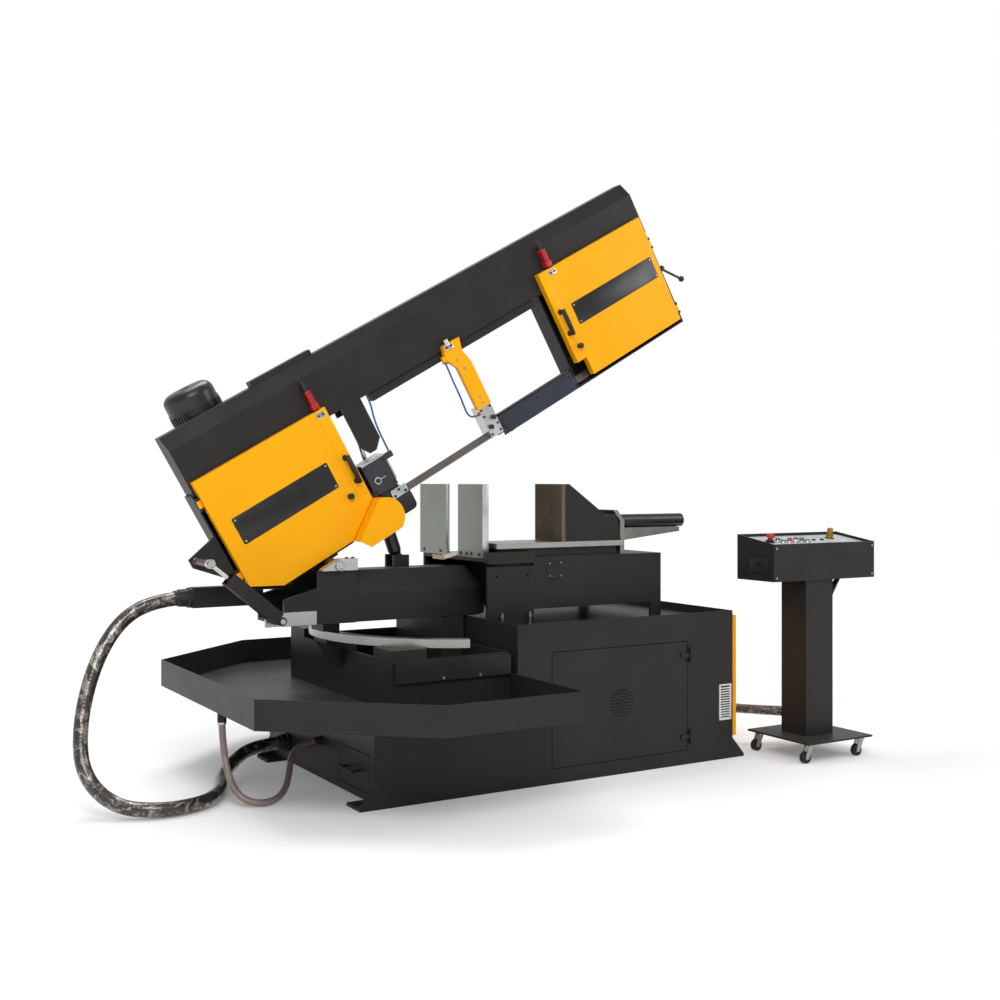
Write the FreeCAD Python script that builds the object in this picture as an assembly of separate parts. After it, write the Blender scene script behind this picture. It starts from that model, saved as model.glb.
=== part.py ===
import FreeCAD, Part
import math
import os
from FreeCAD import Vector

# A double-mitre band saw for metal bars, in millimetres.
# Origin: centre of the four floor-anchor holes, on the floor. +X runs along the cabinet towards the control
# console, +Y away from the operator, +Z up. The blade plane is Y = 0 when the saw cuts square.

# ---- driving sizes -------------------------------------------------------------------------------------
SHEET = 4.0                 # cabinet sheet
THIN_SHEET = 2.5            # doors and covers
GAP = 0.4                   # clearance between pieces that move past each other
SEAM = 3.0                  # gap round a flush door
SHAFT_GAP = 0.05            # radial running clearance of a shaft in its bore

CABINET_LEFT, CABINET_STEP, CABINET_RIGHT = -856.0, -244.0, 849.0
CABINET_HALF = 530.0
LOW_TOP, TALL_TOP, PAN_DEEP = 341.0, 637.0, 37.0
PAN_FLOOR = TALL_TOP - PAN_DEEP
CABINET_FLOOR = 24.0
FOOT_THICK, FOOT_WIDE, FOOT_OUT, FOOT_IN, FOOT_RISE = 12.0, 120.0, 29.0, 70.0, 87.0
ANCHOR_X, ANCHOR_Y, ANCHOR_R = 884.0, CABINET_HALF - FOOT_WIDE / 2, 9.0
ELECTRIC_ROOM = 209.0
COMPARTMENT_WALL = CABINET_RIGHT - ELECTRIC_ROOM     # left face of the wall between the two rooms

SERVICE_LEFT, SERVICE_RIGHT, SERVICE_LOW, SERVICE_HIGH = -86.0, 602.0, 58.0, TALL_TOP - 116.0
VENT_X, VENT_Z, VENT_RINGS, VENT_PITCH, VENT_HOLE_R = 256.0, 290.0, 5, 13.5, 3.5
HINGE_PIN_R, HINGE_LONG, HINGE_OUT, HINGE_END, HINGE_EAR, HINGE_STRAP = 5.0, 60.0, 9.0, 30.0, 14.0, 40.0
KNUCKLE_WALL = 3.0
LATCH_IN, LATCH_R, LATCH_DEEP = 26.0, 14.0, 8.0
WING_HALF, WING_OUT, WING_TALL, WING_SEAT = 5.0, 26.0, 16.0, 6.0

DRAWER_IN, DRAWER_WIDE, DRAWER_Z0, DRAWER_Z1 = 40.0, 275.0, 52.0, 190.0
DRAWER_Y0 = -CABINET_HALF + DRAWER_IN
DRAWER_Y1 = DRAWER_Y0 + DRAWER_WIDE
DRAWER_LONG, DRAWER_WALL, DRAWER_SIDE, DRAWER_LIP, DRAWER_SHORT = 420.0, 3.0, 6.0, 12.0, 10.0
RUNNER_IN, RUNNER_HALF = 30.0, 12.0
PULL_OUT, PULL_R, PULL_HALF, PULL_POST_R, PULL_POST_AT = 32.0, 6.0, 60.0, 4.5, 50.0

ELECTRIC_MARGIN, ELECTRIC_LOW, ELECTRIC_DEEP, ELECTRIC_LIP = 25.0, 90.0, 42.0, 40.0
ELECTRIC_HALF, ELECTRIC_HIGH = CABINET_HALF - ELECTRIC_MARGIN, TALL_TOP - ELECTRIC_MARGIN

TRAY_TALL = 105.0
TRAY_FLOOR = LOW_TOP + SHEET
TRAY_RIM = TRAY_FLOOR + TRAY_TALL
TRAY_LEFT, TRAY_RIGHT, TRAY_BEND_X, TRAY_HALF, TRAY_BEND_Y = -1322.0, -256.0, -813.0, 1005.0, 558.0
SPIGOT_X, SPIGOT_Y, SPIGOT_R, SPIGOT_BORE, SPIGOT_LONG = -1285.0, -110.0, 17.0, 13.0, 45.0

PUMP_LEFT, PUMP_RIGHT, PUMP_FRONT, PUMP_BACK = 120.0, 420.0, -330.0, -60.0
TANK_TOP, PUMP_R, PUMP_TOP, PUMP_FAN_R, PUMP_FAN_TOP = 230.0, 70.0, 420.0, 74.0, 460.0
VALVE_LONG, VALVE_IN, VALVE_SIDE, VALVE_TOP = 70.0, 20.0, 40.0, 320.0

ARM_LIFT, ARM_SIDE_TALL, ARM_TALL = 3.0, 112.0, 200.0
ARM_BOTTOM = TALL_TOP + ARM_LIFT
ARM_SIDE, ARM_CREST = ARM_BOTTOM + ARM_SIDE_TALL, ARM_BOTTOM + ARM_TALL
ARM_HALF, ARM_LEFT, ARM_WALL, ARM_SLOPE = 130.0, -752.0, 12.0, 70.0
CHEEK_TALL, CHEEK_LOW_TALL, CHEEK_RAMP_TALL = 207.0, 102.0, 141.0
CHEEK_THICK, CHEEK_TOP, CHEEK_POST = 15.0, ARM_BOTTOM + CHEEK_TALL, -912.0
CHEEK_LEFT, CHEEK_LOW_TOP, CHEEK_RAMP_TOP = -1052.0, ARM_BOTTOM + CHEEK_LOW_TALL, ARM_BOTTOM + CHEEK_RAMP_TALL
JUNCTION_LEFT, JUNCTION_LOW, JUNCTION_TALL, JUNCTION_WIDE = -1335.0, 66.0, 79.0, 50.0
JUNCTION_TAB_LONG, JUNCTION_TAB_TALL, JUNCTION_TAB_THICK = 90.0, 34.0, 12.0

HUB_X, HUB_R, HUB_PIN_R = -236.0, 130.0, 45.0
HUB_PLATE_R, HUB_PIN_SHORT, CROWN_R = HUB_R - 8.0, 4.0, HUB_R - ARM_SLOPE
ARC_R, ARC_WIDE, ARC_DROP, ARC_TALL = 585.0, 46.0, 40.0, 32.0
ARC_TOP = ARM_BOTTOM - ARC_DROP
ARC_FROM, ARC_TO = 125.0, 247.0
ARC_BLOCK, ARC_BLOCK_DEEP, SHOE_HALF, SHOE_WIDE = 150.0, 12.0, 35.0, 60.0
PEDESTAL_LEFT, PEDESTAL_HALF, PEDESTAL_DROP, PEDESTAL_WALL = -772.0, 494.0, 70.0, 8.0
PEDESTAL_TOP = ARC_TOP - PEDESTAL_DROP
STRIP_IN, STRIP_OUT, STRIP_LOW, STRIP_HIGH = 12.0, 14.0, 84.0, 8.0
LEDGE_HALF, LEDGE_IN, LEDGE_LOW, LEDGE_TIP, LEDGE_BACK = 60.0, 60.0, 80.0, 14.0, 30.0

PIVOT_X, PIVOT_RISE, PIVOT_R = -826.0, 18.0, 18.0
PIVOT_Z = CHEEK_TOP + PIVOT_RISE
BOW_TILT = 29.5
PILLOW_WIDE, PILLOW_TALL, PILLOW_DEEP, PILLOW_OVER = 148.0, 46.0, 38.0, 8.0
PILLOW_TOE, PILLOW_NECK, SHAFT_OUT = 5.0, 3.0, 7.0
SLEEVE_R, SLEEVE_HALF = 26.0, ARM_HALF - PILLOW_OVER - 2.0

# sizes below are along the bow (s), across it (y) and square to it (t), from its pivot
DRIVE_S, IDLER_S = -17.0, 1774.0
BEAM_LEFT, BEAM_RIGHT, BEAM_LOW, BEAM_BEND, BEAM_TOP = -335.0, IDLER_S + 341.0, 507.0, 695.0, 752.0
BOW_FRONT, BOW_BACK, BEAM_SLOPE, BEAM_WALL = -28.0, 65.0, 36.0, 8.0
HOUSING_WALL, HOUSING_BACK = 6.0, 60.0
DRIVE_BOX = [(-345, BEAM_LOW), (-345, 95), (-210, 15), (140, 15), (300, 128), (300, BEAM_LOW)]
IDLER_LEFT, IDLER_RIGHT = IDLER_S - 349.0, IDLER_S + 338.0
WHEEL_SPACE, WHEEL_SPACE_BACK = 12.0, 34.0         # room round a wheel, and how far back it reaches
BLADE_WAY_LOW, BLADE_WAY_HIGH, BLADE_WAY_HALF = 40.0, 112.0, 26.0
SADDLE_HALF, SADDLE_LOW, SADDLE_HIGH = 60.0, 8.0, 22.0
BLADE_WAY_IN, BLADE_WAY_OUT = 100.0, 10.0
EAR_HIGH, EAR_LOW, EAR_HALF, EAR_REACH, EAR_THICK = 330.0, 130.0, 18.0, 22.0, 14.0
WHEEL_R, WHEEL_T, WHEEL_WIDE = 223.1, 306.0, 34.0
WHEEL_HOLES, WHEEL_HOLE_R, WHEEL_HOLE_RING, WHEEL_RIM = 6, 38.0, 125.0, 22.0
SHAFT_R, SHAFT_HUB_R, WEB_HALF = 22.5, 52.0, 5.0
BLADE_THICK, BLADE_HIGH, TOOTH_PITCH, TOOTH_DEEP = 1.1, 34.0, 9.0, 4.0
BLADE_T = 82.0
CUT_FROM, CUT_TO = 350.0, 1450.0
IDLER_WAY_HIGH = 140.0      # top of the band's way into the idler housing
LEVER_Y, LEVER_T, LEVER_SCREW_R, LEVER_SCREW_LONG = 10.0, 314.0, 10.0, 22.0
LEVER_HUB_R, LEVER_HUB_LONG = 14.0, 18.0
LEVER_HUB_MIDDLE, LEVER_TIP, LEVER_R, LEVER_KNOB_R = 8.6, (95.6, 0.0, -92.0), 6.0, 14.0
FLAT_RUN = 77.0             # flat run of the band after each wheel, before it twists
DOOR_FRONT, DOOR_INSIDE = -58.0, -28.4
LEFT_DOOR = [(-324, 555), (287, 555), (290, 138), (133, 30), (-203, 30), (-324, 99)]
HINGE_REACH = 11.0          # from a wheel door's edge to its hinge line
DOOR_PIN_IN, DOOR_KNUCKLE, DOOR_STRAP, DOOR_STRAP_HALF = 9.0, 30.0, 12.0, 3.0
DOOR_LUG_OUT, DOOR_LUG_BACK, DOOR_LUG_TALL, DOOR_LUG_IN = 10.0, 7.0, 12.0, 8.0
LEFT_HINGES, RIGHT_HINGES = (135.0, 452.0), (110.0, 440.0)
LEFT_GRIP, RIGHT_GRIP = (264.0, 225.0, 345.0), (IDLER_S - 293.0, 285.0, 405.0)     # s, low t and high t
GRIP_OUT, GRIP_R, GRIP_POST_R = 30.0, 8.0, 6.0
HOUSING_SKIN = 14.0         # how far the idler housing reaches below the band
RIGHT_DOOR = [
    (IDLER_S - 317, 588), (IDLER_S + 314, 588), (IDLER_S + 306, 76), (IDLER_S - 262, 76), (IDLER_S - 262, 160),
    (IDLER_S - 317, 160),
]
RAIL_S0, RAIL_S1, RAIL_LOW, RAIL_DEEP = 505.0, 1400.0, 469.0, 40.0
GUIDE_S, GUIDE_WIDE, GUIDE_LOW, GUIDE_HIGH, GUIDE_HALF = 950.0, 66.0, 72.0, 214.0, 32.0
ARM_REACH, ARM_TIP, ARM_KNEE, ARM_NOSE, ARM_NECK = 66.0, 22.0, 14.0, 26.0, 46.0
ARM_ELBOW, ARM_PLATE = 415.0, 24.0
PORT_HALF = 8.0             # block that a coolant tube plugs into
COVER_S0, COVER_S1, COVER_LOW, COVER_HIGH, COVER_HALF = 983.0, 1418.0, 52.0, 138.0, 30.0
FIXED_GUIDE = (312.0, 426.0, 130.0, 268.0)
PAD_GAP = 0.35
MOTOR_S, MOTOR_Y, MOTOR_R, FAN_R = -109.0, 170.0, 96.0, 103.0
GEARBOX = (-190.0, 70.0, 215.0, 425.0)
MOTOR_TOP, FAN_LOW = 857.0, 735.0
BRUSH_S, BRUSH_Y, BRUSH_T, BRUSH_R, BRUSH_WIDE = 238.0, -72.0, 42.0, 34.0, 50.0
BRUSH_SPINDLE_R, HOOD_FRONT = 6.0, -120.0
HOOD_BULGE, HOOD_ROUND, HOOD_DROP, HOOD_LOW, HOOD_FOOT = 322.0, 42.0, 12.0, -17.0, 168.0

BED_LEFT, BED_RIGHT, BED_HALF, BED_TALL, BED_SKIN = -234.0, 654.0, 280.0, 280.0, 15.0
BED_TOP = PAN_FLOOR + BED_TALL
BED_SKIRT, BED_LEG_TALL, BED_LEG_LEFT, BED_LEG_RIGHT = 12.0, 65.0, -10.0, 596.0
BED_SKIRT_LOW = PAN_FLOOR + BED_LEG_TALL
BED_STRIP_HALF, BED_STRIP_IN, BED_STRIP_SHORT = 15.0, 35.0, 20.0
ROLLER_BOLT_X0, ROLLER_BOLT_X1, ROLLER_BOLT_Z, ROLLER_BOLT_R = -190.0, -40.0, BED_TOP - 75.0, 5.5
SLAB_RISE, SLAB_THICK = 60.0, 22.0
SLAB_LEFT, SLAB_RIGHT, SLAB_FRONT, SLAB_BACK, SLAB_TOP = -186.0, 450.0, -275.0, -45.0, BED_TOP + SLAB_RISE
JAW_THICK, JAW_TALL = 30.0, 243.0
JAW_TOP, JAW_FOOT = SLAB_TOP + JAW_TALL, BED_TOP
FRONT_JAW_Y = (-240.0, -35.0)
REAR_JAW_Y = (70.0, 310.0)
JAW_BEVEL = 22.0
APRON_DROP, APRON_TALL, APRON_THICK, APRON_SLOT = 22.0, 47.0, 12.0, 12.0
APRON_RIGHT, APRON_LOW = -12.0, BED_TOP - APRON_DROP
APRON_TOP = APRON_LOW + APRON_TALL
MOVING_FACE, MOVING_FACE_THICK, MOVING_BACK = 132.0, 18.0, 440.0
SERRATION_PITCH, SERRATION_DEEP = 12.0, 2.5
MOVING_JAW_BACK = -66.0     # the bow's guide arm comes down behind the moving jaw
WEDGE_LIP, WEDGE_TAIL, WEDGE_TAIL_TOP, WEDGE_KNEE, WEDGE_KNEE_TOP = 20.0, 25.0, 34.0, 80.0, 30.0
POCKET_WALL, POCKET_FLOOR, POCKET_TOP, POCKET_TAIL, POCKET_TAIL_TOP = 15.0, 20.0, 40.0, 40.0, 10.0
CYLINDER_RISE, CYLINDER_R, CYLINDER_LONG, CYLINDER_Y = 78.0, 30.0, 390.0, -155.0
CYLINDER_Z = SLAB_TOP + CYLINDER_RISE
CYLINDER_CAP_R, CYLINDER_CAP_LONG, CYLINDER_END = 9.0, 10.0, 20.0
CRANK_THICK, CRANK_IN, CRANK_BEND, CRANK_TOP, CRANK_TIP, CRANK_BACK = 22.0, 20.0, 6.0, 52.0, 14.0, 36.0
CRANK_SEAT, GUSSET_HALF, GUSSET_TIP, GUSSET_DEEP, GUSSET_SHORT = 1.0, 20.0, 20.0, 60.0, 20.0
JAW_ROD_R, JAW_TRAVEL, ROD_GRIP, CRANK_HOLE = 12.0, 300.0, 42.0, 1.0

LIFT_FOOT, LIFT_HEAD, LIFT_Y = (-465.0, ARM_BOTTOM + 232.0), (430.0, 480.0), 76.0
LIFT_BARREL_R, LIFT_BARREL_LONG, LIFT_ROD_R, LIFT_BORE_R = 28.0, 430.0, 10.0, 23.0
LIFT_NECK, LIFT_NECK_R, LIFT_SKIRT, LIFT_EYE_R, LIFT_BORE_FROM = 34.0, 18.0, 40.0, 20.0, 36.0
LIFT_ROD_FROM, LIFT_ROD_TO, ROD_EYE_R, ROD_EYE_HALF = -430.0, -10.0, 18.0, 14.0
CLEVIS_HALF, CLEVIS_THICK, CLEVIS_SIDE, CLEVIS_OVER = 36.0, 12.0, 2.0, 16.0
STRUT_CLEAR = 47.0          # from the front cheek to the middle of the strut
STRUT_FOOT, STRUT_EYE = (-1087.0, ARM_BOTTOM + 29.0), (-448.0, 286.0)
STRUT_Y = -(ARM_HALF + CHEEK_THICK + STRUT_CLEAR)
STRUT_HALF, STRUT_LONG, STRUT_ROD_R, STRUT_BORE = 26.0, 262.0, 8.0, 23.5
STRUT_FROM, STRUT_BORE_FROM, STRUT_EYE_R, STRUT_EYE_HALF = 14.0, 20.0, 17.0, 12.0
STRUT_ROD_FROM, STRUT_ROD_TO, STRUT_PIN_OUT, STRUT_PIN_OVER = -270.0, -10.0, 8.0, 20.0
STRUT_PLATE_END, STRUT_PLATE_RIGHT, STRUT_PLATE_THICK, STRUT_PLATE_HALF = 44.0, -925.0, 14.0, 26.0
LINK_PIN_R = 10.0

CONSOLE_X, CONSOLE_Y = 1211.0, -623.0
CONSOLE_PLATE, CONSOLE_PLATE_Z, CONSOLE_PLATE_THICK = 378.0, 82.0, 8.0
COLUMN = (1125.0, 1285.0, -690.0, -540.0)
COLUMN_WALL = 3.0
BRACE_TALL, BRACE_OUT, BRACE_WIDE, BRACE_RISE, BRACE_Y, BRACE_DEEP = 66.0, 46.0, 16.0, 22.0, -625.0, 20.0
DESK_LEFT, DESK_RIGHT, DESK_FRONT, DESK_BACK = 925.0, 1527.0, -705.0, -475.0
DESK_LOW, DESK_FRONT_TOP, DESK_BACK_TOP, DESK_RIM, DESK_EDGE = 766.0, 926.0, 962.0, 14.0, 4.0
STOP_STEM_R, STOP_PLACE, KNOB_PLACE = 11.0, (1000.0, -600.0), (1397.0, -560.0)
STOP_STEM_FROM, STOP_STEM_LONG, STOP_HEAD_FROM = 6.0, 20.0, 24.0
STOP_HEAD_R, STOP_TOP_R, STOP_HEAD_TALL = 20.0, 16.0, 14.0
COLLAR_R, COLLAR_TALL, SEAT_R, SEAT_TALL = 17.0, 12.0, 20.0, 4.0
KNOB_SKIRT_R, KNOB_SKIRT_TALL, KNOB_BODY_FROM, KNOB_R, KNOB_TALL = 16.0, 16.0, 14.0, 13.0, 34.0
BUTTON_COUNT, BUTTON_PITCH, BUTTON_R, BUTTON_TALL = 5, 36.0, 11.0, 9.0
BUTTONS_RIGHT, BUTTONS_FORWARD = 60.0, 20.0
CASTER_R, CASTER_WIDE, CASTER_TRAIL, CASTER_INSET, CASTER_AXLE_R = 25.0, 18.0, 22.0, 38.0, 4.0
CASTER_STEM_R, CASTER_CROWN, CASTER_CROWN_R = 6.0, 12.0, 16.0
FORK_HALF, FORK_IN, FORK_TIP, FORK_LOW, FORK_SIDE, FORK_THICK, FORK_BRIDGE = 14.0, 6.0, 9.0, 8.0, 1.0, 3.0, 4.0

CONDUIT_R, HOSE_R, CONSOLE_CONDUIT_R, COOLANT_R = 27.0, 13.0, 22.0, 4.0
ARC_SHARE = 0.45


# ---- helpers -------------------------------------------------------------------------------------------
def box(x0, x1, y0, y1, z0, z1):
    return Part.makeBox(x1 - x0, y1 - y0, z1 - z0, Vector(x0, y0, z0))


def bar(start, axis, radius, length):
    return Part.makeCylinder(radius, length, Vector(*start), Vector(*axis))


def across(x, z, radius, y0, y1):
    """Round bar along Y."""
    return bar((x, y0, z), (0, 1, 0), radius, y1 - y0)


def plate_xz(points, y0, y1):
    """Plate with an outline in the XZ plane, from y0 to y1."""
    corners = [Vector(x, y0, z) for x, z in points]
    return Part.Face(Part.makePolygon(corners + corners[:1])).extrude(Vector(0, y1 - y0, 0))


def plate_xy(points, z0, z1):
    corners = [Vector(x, y, z0) for x, y in points]
    return Part.Face(Part.makePolygon(corners + corners[:1])).extrude(Vector(0, 0, z1 - z0))


def plate_yz(points, x0, x1):
    corners = [Vector(x0, y, z) for y, z in points]
    return Part.Face(Part.makePolygon(corners + corners[:1])).extrude(Vector(x1 - x0, 0, 0))


def joined(*pieces):
    return pieces[0].multiFuse(list(pieces[1:])).removeSplitter()


def inset(points, distance):
    """The outline moved inwards by a distance on every side."""
    corners = [Vector(x, 0, z) for x, z in points]
    wire = Part.makePolygon(corners + corners[:1])
    smaller = wire.makeOffset2D(-distance, 2)
    if Part.Face(smaller).Area > Part.Face(wire).Area:
        smaller = wire.makeOffset2D(distance, 2)
    return smaller


def inner_plate(points, distance, y0, y1):
    """The same plate as plate_xz, smaller by a distance all round."""
    face = Part.Face(inset(points, distance))
    face.translate(Vector(0, y0, 0))
    return face.extrude(Vector(0, y1 - y0, 0))


def at_tilt(shape):
    """Takes a shape from the bow's own axes to its rest pose."""
    shape.rotate(Vector(0, 0, 0), Vector(0, 1, 0), -BOW_TILT)
    shape.translate(Vector(PIVOT_X, 0, PIVOT_Z))
    return shape


def tilted(s, t):
    """Where a point of the bow lies at rest, as (x, z)."""
    turn = math.radians(BOW_TILT)
    return (
        PIVOT_X + s * math.cos(turn) - t * math.sin(turn),
        PIVOT_Z + s * math.sin(turn) + t * math.cos(turn),
    )


def tube(name, route, radius):
    """Round bar along straight runs joined by tangent arcs."""
    points = [Vector(*p) for p in route]
    edges, bends, start = [], [], points[0]
    for before, here, after in zip(points, points[1:], points[2:]):
        into, out = here - before, after - here
        reach = ARC_SHARE * min(into.Length, out.Length)
        into.normalize()
        out.normalize()
        half = into.getAngle(out) / 2
        bend = reach / math.tan(half)
        middle_way = (out - into).normalize()
        leave, meet = here - into * reach, here + out * reach
        middle = here + middle_way * (bend / math.cos(half) - bend)
        edges.append(Part.LineSegment(start, leave).toShape())
        edges.append(Part.Arc(leave, middle, meet).toShape())
        bends.append(round(bend / (2 * radius), 1))
        start = meet
    edges.append(Part.LineSegment(start, points[-1]).toShape())
    path = Part.Wire(edges)
    section = Part.Wire([Part.Circle(points[0], points[1] - points[0], radius).toShape()])
    solid = path.makePipeShell([section], True, False)
    ratio = solid.Volume / (math.pi * radius**2 * path.Length)
    print(name, "bend radii in diameters", bends, "length", round(path.Length), "volume ratio", round(ratio, 4))
    return solid


# ---- cabinet and what stands on it ---------------------------------------------------------------------
def foot(side_x, side_y):
    """One anchor foot: a holed plate with a gusset up the cabinet's end."""
    wall = CABINET_LEFT if side_x < 0 else CABINET_RIGHT
    tip = side_x * (ANCHOR_X + FOOT_OUT)
    heel = wall - side_x * FOOT_IN
    outer_y, inner_y = side_y * CABINET_HALF, side_y * (CABINET_HALF - FOOT_WIDE)
    x0, x1 = sorted((tip, heel))
    y0, y1 = sorted((outer_y, inner_y))
    plate = box(x0, x1, y0, y1, 0, FOOT_THICK)
    rib_y0, rib_y1 = sorted((outer_y, outer_y - side_y * FOOT_THICK))
    gusset = plate_xz([(wall, 0), (tip, 0), (tip, FOOT_THICK), (wall, FOOT_RISE)], rib_y0, rib_y1)
    hole = bar((side_x * ANCHOR_X, side_y * ANCHOR_Y, 0), (0, 0, 1), ANCHOR_R, FOOT_THICK)
    return joined(plate, gusset).cut(hole)


def cabinet_low():
    outer = box(CABINET_LEFT, CABINET_STEP, -CABINET_HALF, CABINET_HALF, 0, LOW_TOP)
    inside, toe_half = CABINET_HALF - SHEET, CABINET_HALF - FOOT_WIDE
    inner = box(CABINET_LEFT + SHEET, CABINET_STEP, -inside, inside, CABINET_FLOOR, LOW_TOP - SHEET)
    under = box(CABINET_LEFT - 1, CABINET_STEP, -inside, inside, 0, CABINET_FLOOR - SHEET)
    toe = box(CABINET_LEFT, CABINET_LEFT + SHEET, -toe_half, toe_half, 0, CABINET_FLOOR - SHEET)
    mouth = box(
        CABINET_LEFT, CABINET_LEFT + SHEET,
        DRAWER_Y0 - SEAM, DRAWER_Y1 + SEAM, DRAWER_Z0 - SEAM, DRAWER_Z1 + SEAM,
    )
    shell = outer.cut(inner).cut(under).cut(toe).cut(mouth)
    runners = [
        box(
            CABINET_LEFT + SHEET, CABINET_LEFT + DRAWER_LONG, y - RUNNER_HALF, y + RUNNER_HALF,
            CABINET_FLOOR, DRAWER_Z0 - GAP,
        )
        for y in (DRAWER_Y0 + RUNNER_IN, DRAWER_Y1 - RUNNER_IN)
    ]
    return joined(shell, *runners, foot(-1, -1), foot(-1, 1))


def hinge_leaf_pin(x, y, z0, z1):
    """Fixed pin of a door hinge with its plate end."""
    return bar((x, y, z0), (0, 0, 1), HINGE_PIN_R, z1 - z0)


def cabinet_tall():
    half = CABINET_HALF
    outer = box(CABINET_STEP, CABINET_RIGHT, -half, half, 0, TALL_TOP)
    pan = box(
        CABINET_STEP + SHEET, CABINET_RIGHT - SHEET, -half + SHEET, half - SHEET, PAN_FLOOR, TALL_TOP
    )
    pump_room = box(
        CABINET_STEP + SHEET, COMPARTMENT_WALL, -half + SHEET, half - SHEET, CABINET_FLOOR, PAN_FLOOR - SHEET
    )
    electric_room = box(
        COMPARTMENT_WALL + SHEET, CABINET_RIGHT - SHEET, -half + SHEET, half - SHEET,
        CABINET_FLOOR, PAN_FLOOR - SHEET,
    )
    under = box(
        CABINET_STEP + SHEET, CABINET_RIGHT + 1, -half + SHEET, half - SHEET, 0, CABINET_FLOOR - SHEET
    )
    service = box(SERVICE_LEFT, SERVICE_RIGHT, -half, -half + SHEET, SERVICE_LOW, SERVICE_HIGH)
    lip = ELECTRIC_LIP
    electric = box(
        CABINET_RIGHT - SHEET, CABINET_RIGHT, -ELECTRIC_HALF + lip, ELECTRIC_HALF - lip,
        ELECTRIC_LOW + lip, ELECTRIC_HIGH - lip,
    )
    shell = outer.cut(pan).cut(pump_room).cut(electric_room).cut(under).cut(service).cut(electric)
    pieces = [shell, foot(1, -1), foot(1, 1)]
    for low in service_hinges():
        pieces += service_hinge_brackets(low)
    return joined(*pieces)


def service_hinges():
    """Heights of the service door's hinges."""
    return SERVICE_LOW + HINGE_END, SERVICE_HIGH - HINGE_END - HINGE_LONG


def service_hinge_brackets(low):
    """Two ears and the pin between them, on the cabinet front beside the service door."""
    x, y = SERVICE_RIGHT + HINGE_OUT, -CABINET_HALF - HINGE_OUT
    third = HINGE_LONG / 3
    ears = [
        box(x - HINGE_PIN_R, x + HINGE_EAR, y - HINGE_PIN_R, -CABINET_HALF, z, z + third)
        for z in (low, low + 2 * third)
    ]
    return ears + [hinge_leaf_pin(x, y, low, low + HINGE_LONG)]


def hinge_knuckle(x, y, low):
    """Moving knuckle round the pin, in the middle third of the hinge."""
    third = HINGE_LONG / 3
    sleeve = bar((x, y, low + third + GAP), (0, 0, 1), HINGE_PIN_R + KNUCKLE_WALL, third - 2 * GAP)
    return sleeve.cut(bar((x, y, low), (0, 0, 1), HINGE_PIN_R + SHAFT_GAP, HINGE_LONG))


def service_door():
    front, back = -CABINET_HALF, -CABINET_HALF + SHEET
    leaf = box(
        SERVICE_LEFT + SEAM, SERVICE_RIGHT - SEAM, front, back - 1, SERVICE_LOW + SEAM, SERVICE_HIGH - SEAM
    )
    holes = [bar((VENT_X, front - 1, VENT_Z), (0, 1, 0), VENT_HOLE_R, SHEET + 2)]
    for ring in range(1, VENT_RINGS):
        for k in range(6 * ring):
            turn = 2 * math.pi * k / (6 * ring)
            x = VENT_X + ring * VENT_PITCH * math.cos(turn)
            z = VENT_Z + ring * VENT_PITCH * math.sin(turn)
            holes.append(bar((x, front - 1, z), (0, 1, 0), VENT_HOLE_R, SHEET + 2))
    leaf = leaf.cut(Part.makeCompound(holes))
    x, y = SERVICE_RIGHT + HINGE_OUT, front - HINGE_OUT
    pieces = [leaf]
    for low in service_hinges():
        third = HINGE_LONG / 3
        strap = box(
            SERVICE_RIGHT - HINGE_STRAP, x - HINGE_PIN_R - 1, y + 2, front,
            low + third + GAP, low + 2 * third - GAP,
        )
        pieces += [strap, hinge_knuckle(x, y, low)]
    return joined(*pieces, *service_latch())


def service_latch():
    """Quarter-turn latch with a wing grip."""
    x, z = SERVICE_LEFT + LATCH_IN, (SERVICE_LOW + SERVICE_HIGH) / 2
    front = -CABINET_HALF
    rose = across(x, z, LATCH_R, front - LATCH_DEEP, front)
    wing = box(x - WING_HALF, x + WING_HALF, front - WING_OUT, front - WING_SEAT, z - WING_TALL, z + WING_TALL)
    return [rose, wing]


def chip_drawer():
    wall, y0, y1 = DRAWER_WALL, DRAWER_Y0 + DRAWER_SIDE, DRAWER_Y1 - DRAWER_SIDE
    x0, x1 = CABINET_LEFT, CABINET_LEFT + DRAWER_LONG - DRAWER_SHORT
    body = box(x0, x1, y0, y1, DRAWER_Z0, DRAWER_Z1 - DRAWER_LIP)
    body = body.cut(box(x0 + wall, x1 - wall, y0 + wall, y1 - wall, DRAWER_Z0 + wall, DRAWER_Z1))
    front = box(x0, x0 + wall, DRAWER_Y0, DRAWER_Y1, DRAWER_Z0, DRAWER_Z1)
    middle, height = (DRAWER_Y0 + DRAWER_Y1) / 2, (DRAWER_Z0 + DRAWER_Z1) / 2
    out = x0 - PULL_OUT
    posts = [
        bar((out, middle + side * PULL_POST_AT, height), (1, 0, 0), PULL_POST_R, PULL_OUT) for side in (-1, 1)
    ]
    handle = bar((out, middle - PULL_HALF, height), (0, 1, 0), PULL_R, 2 * PULL_HALF)
    return joined(body, front, handle, *posts)


def electric_cover():
    """Screwed-on cover of the electric compartment, a shallow tray of sheet."""
    x0, x1 = CABINET_RIGHT, CABINET_RIGHT + ELECTRIC_DEEP
    outer = box(x0, x1, -ELECTRIC_HALF, ELECTRIC_HALF, ELECTRIC_LOW, ELECTRIC_HIGH)
    inner = box(
        x0, x1 - THIN_SHEET, -ELECTRIC_HALF + THIN_SHEET, ELECTRIC_HALF - THIN_SHEET,
        ELECTRIC_LOW + THIN_SHEET, ELECTRIC_HIGH - THIN_SHEET,
    )
    return outer.cut(inner)


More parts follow.
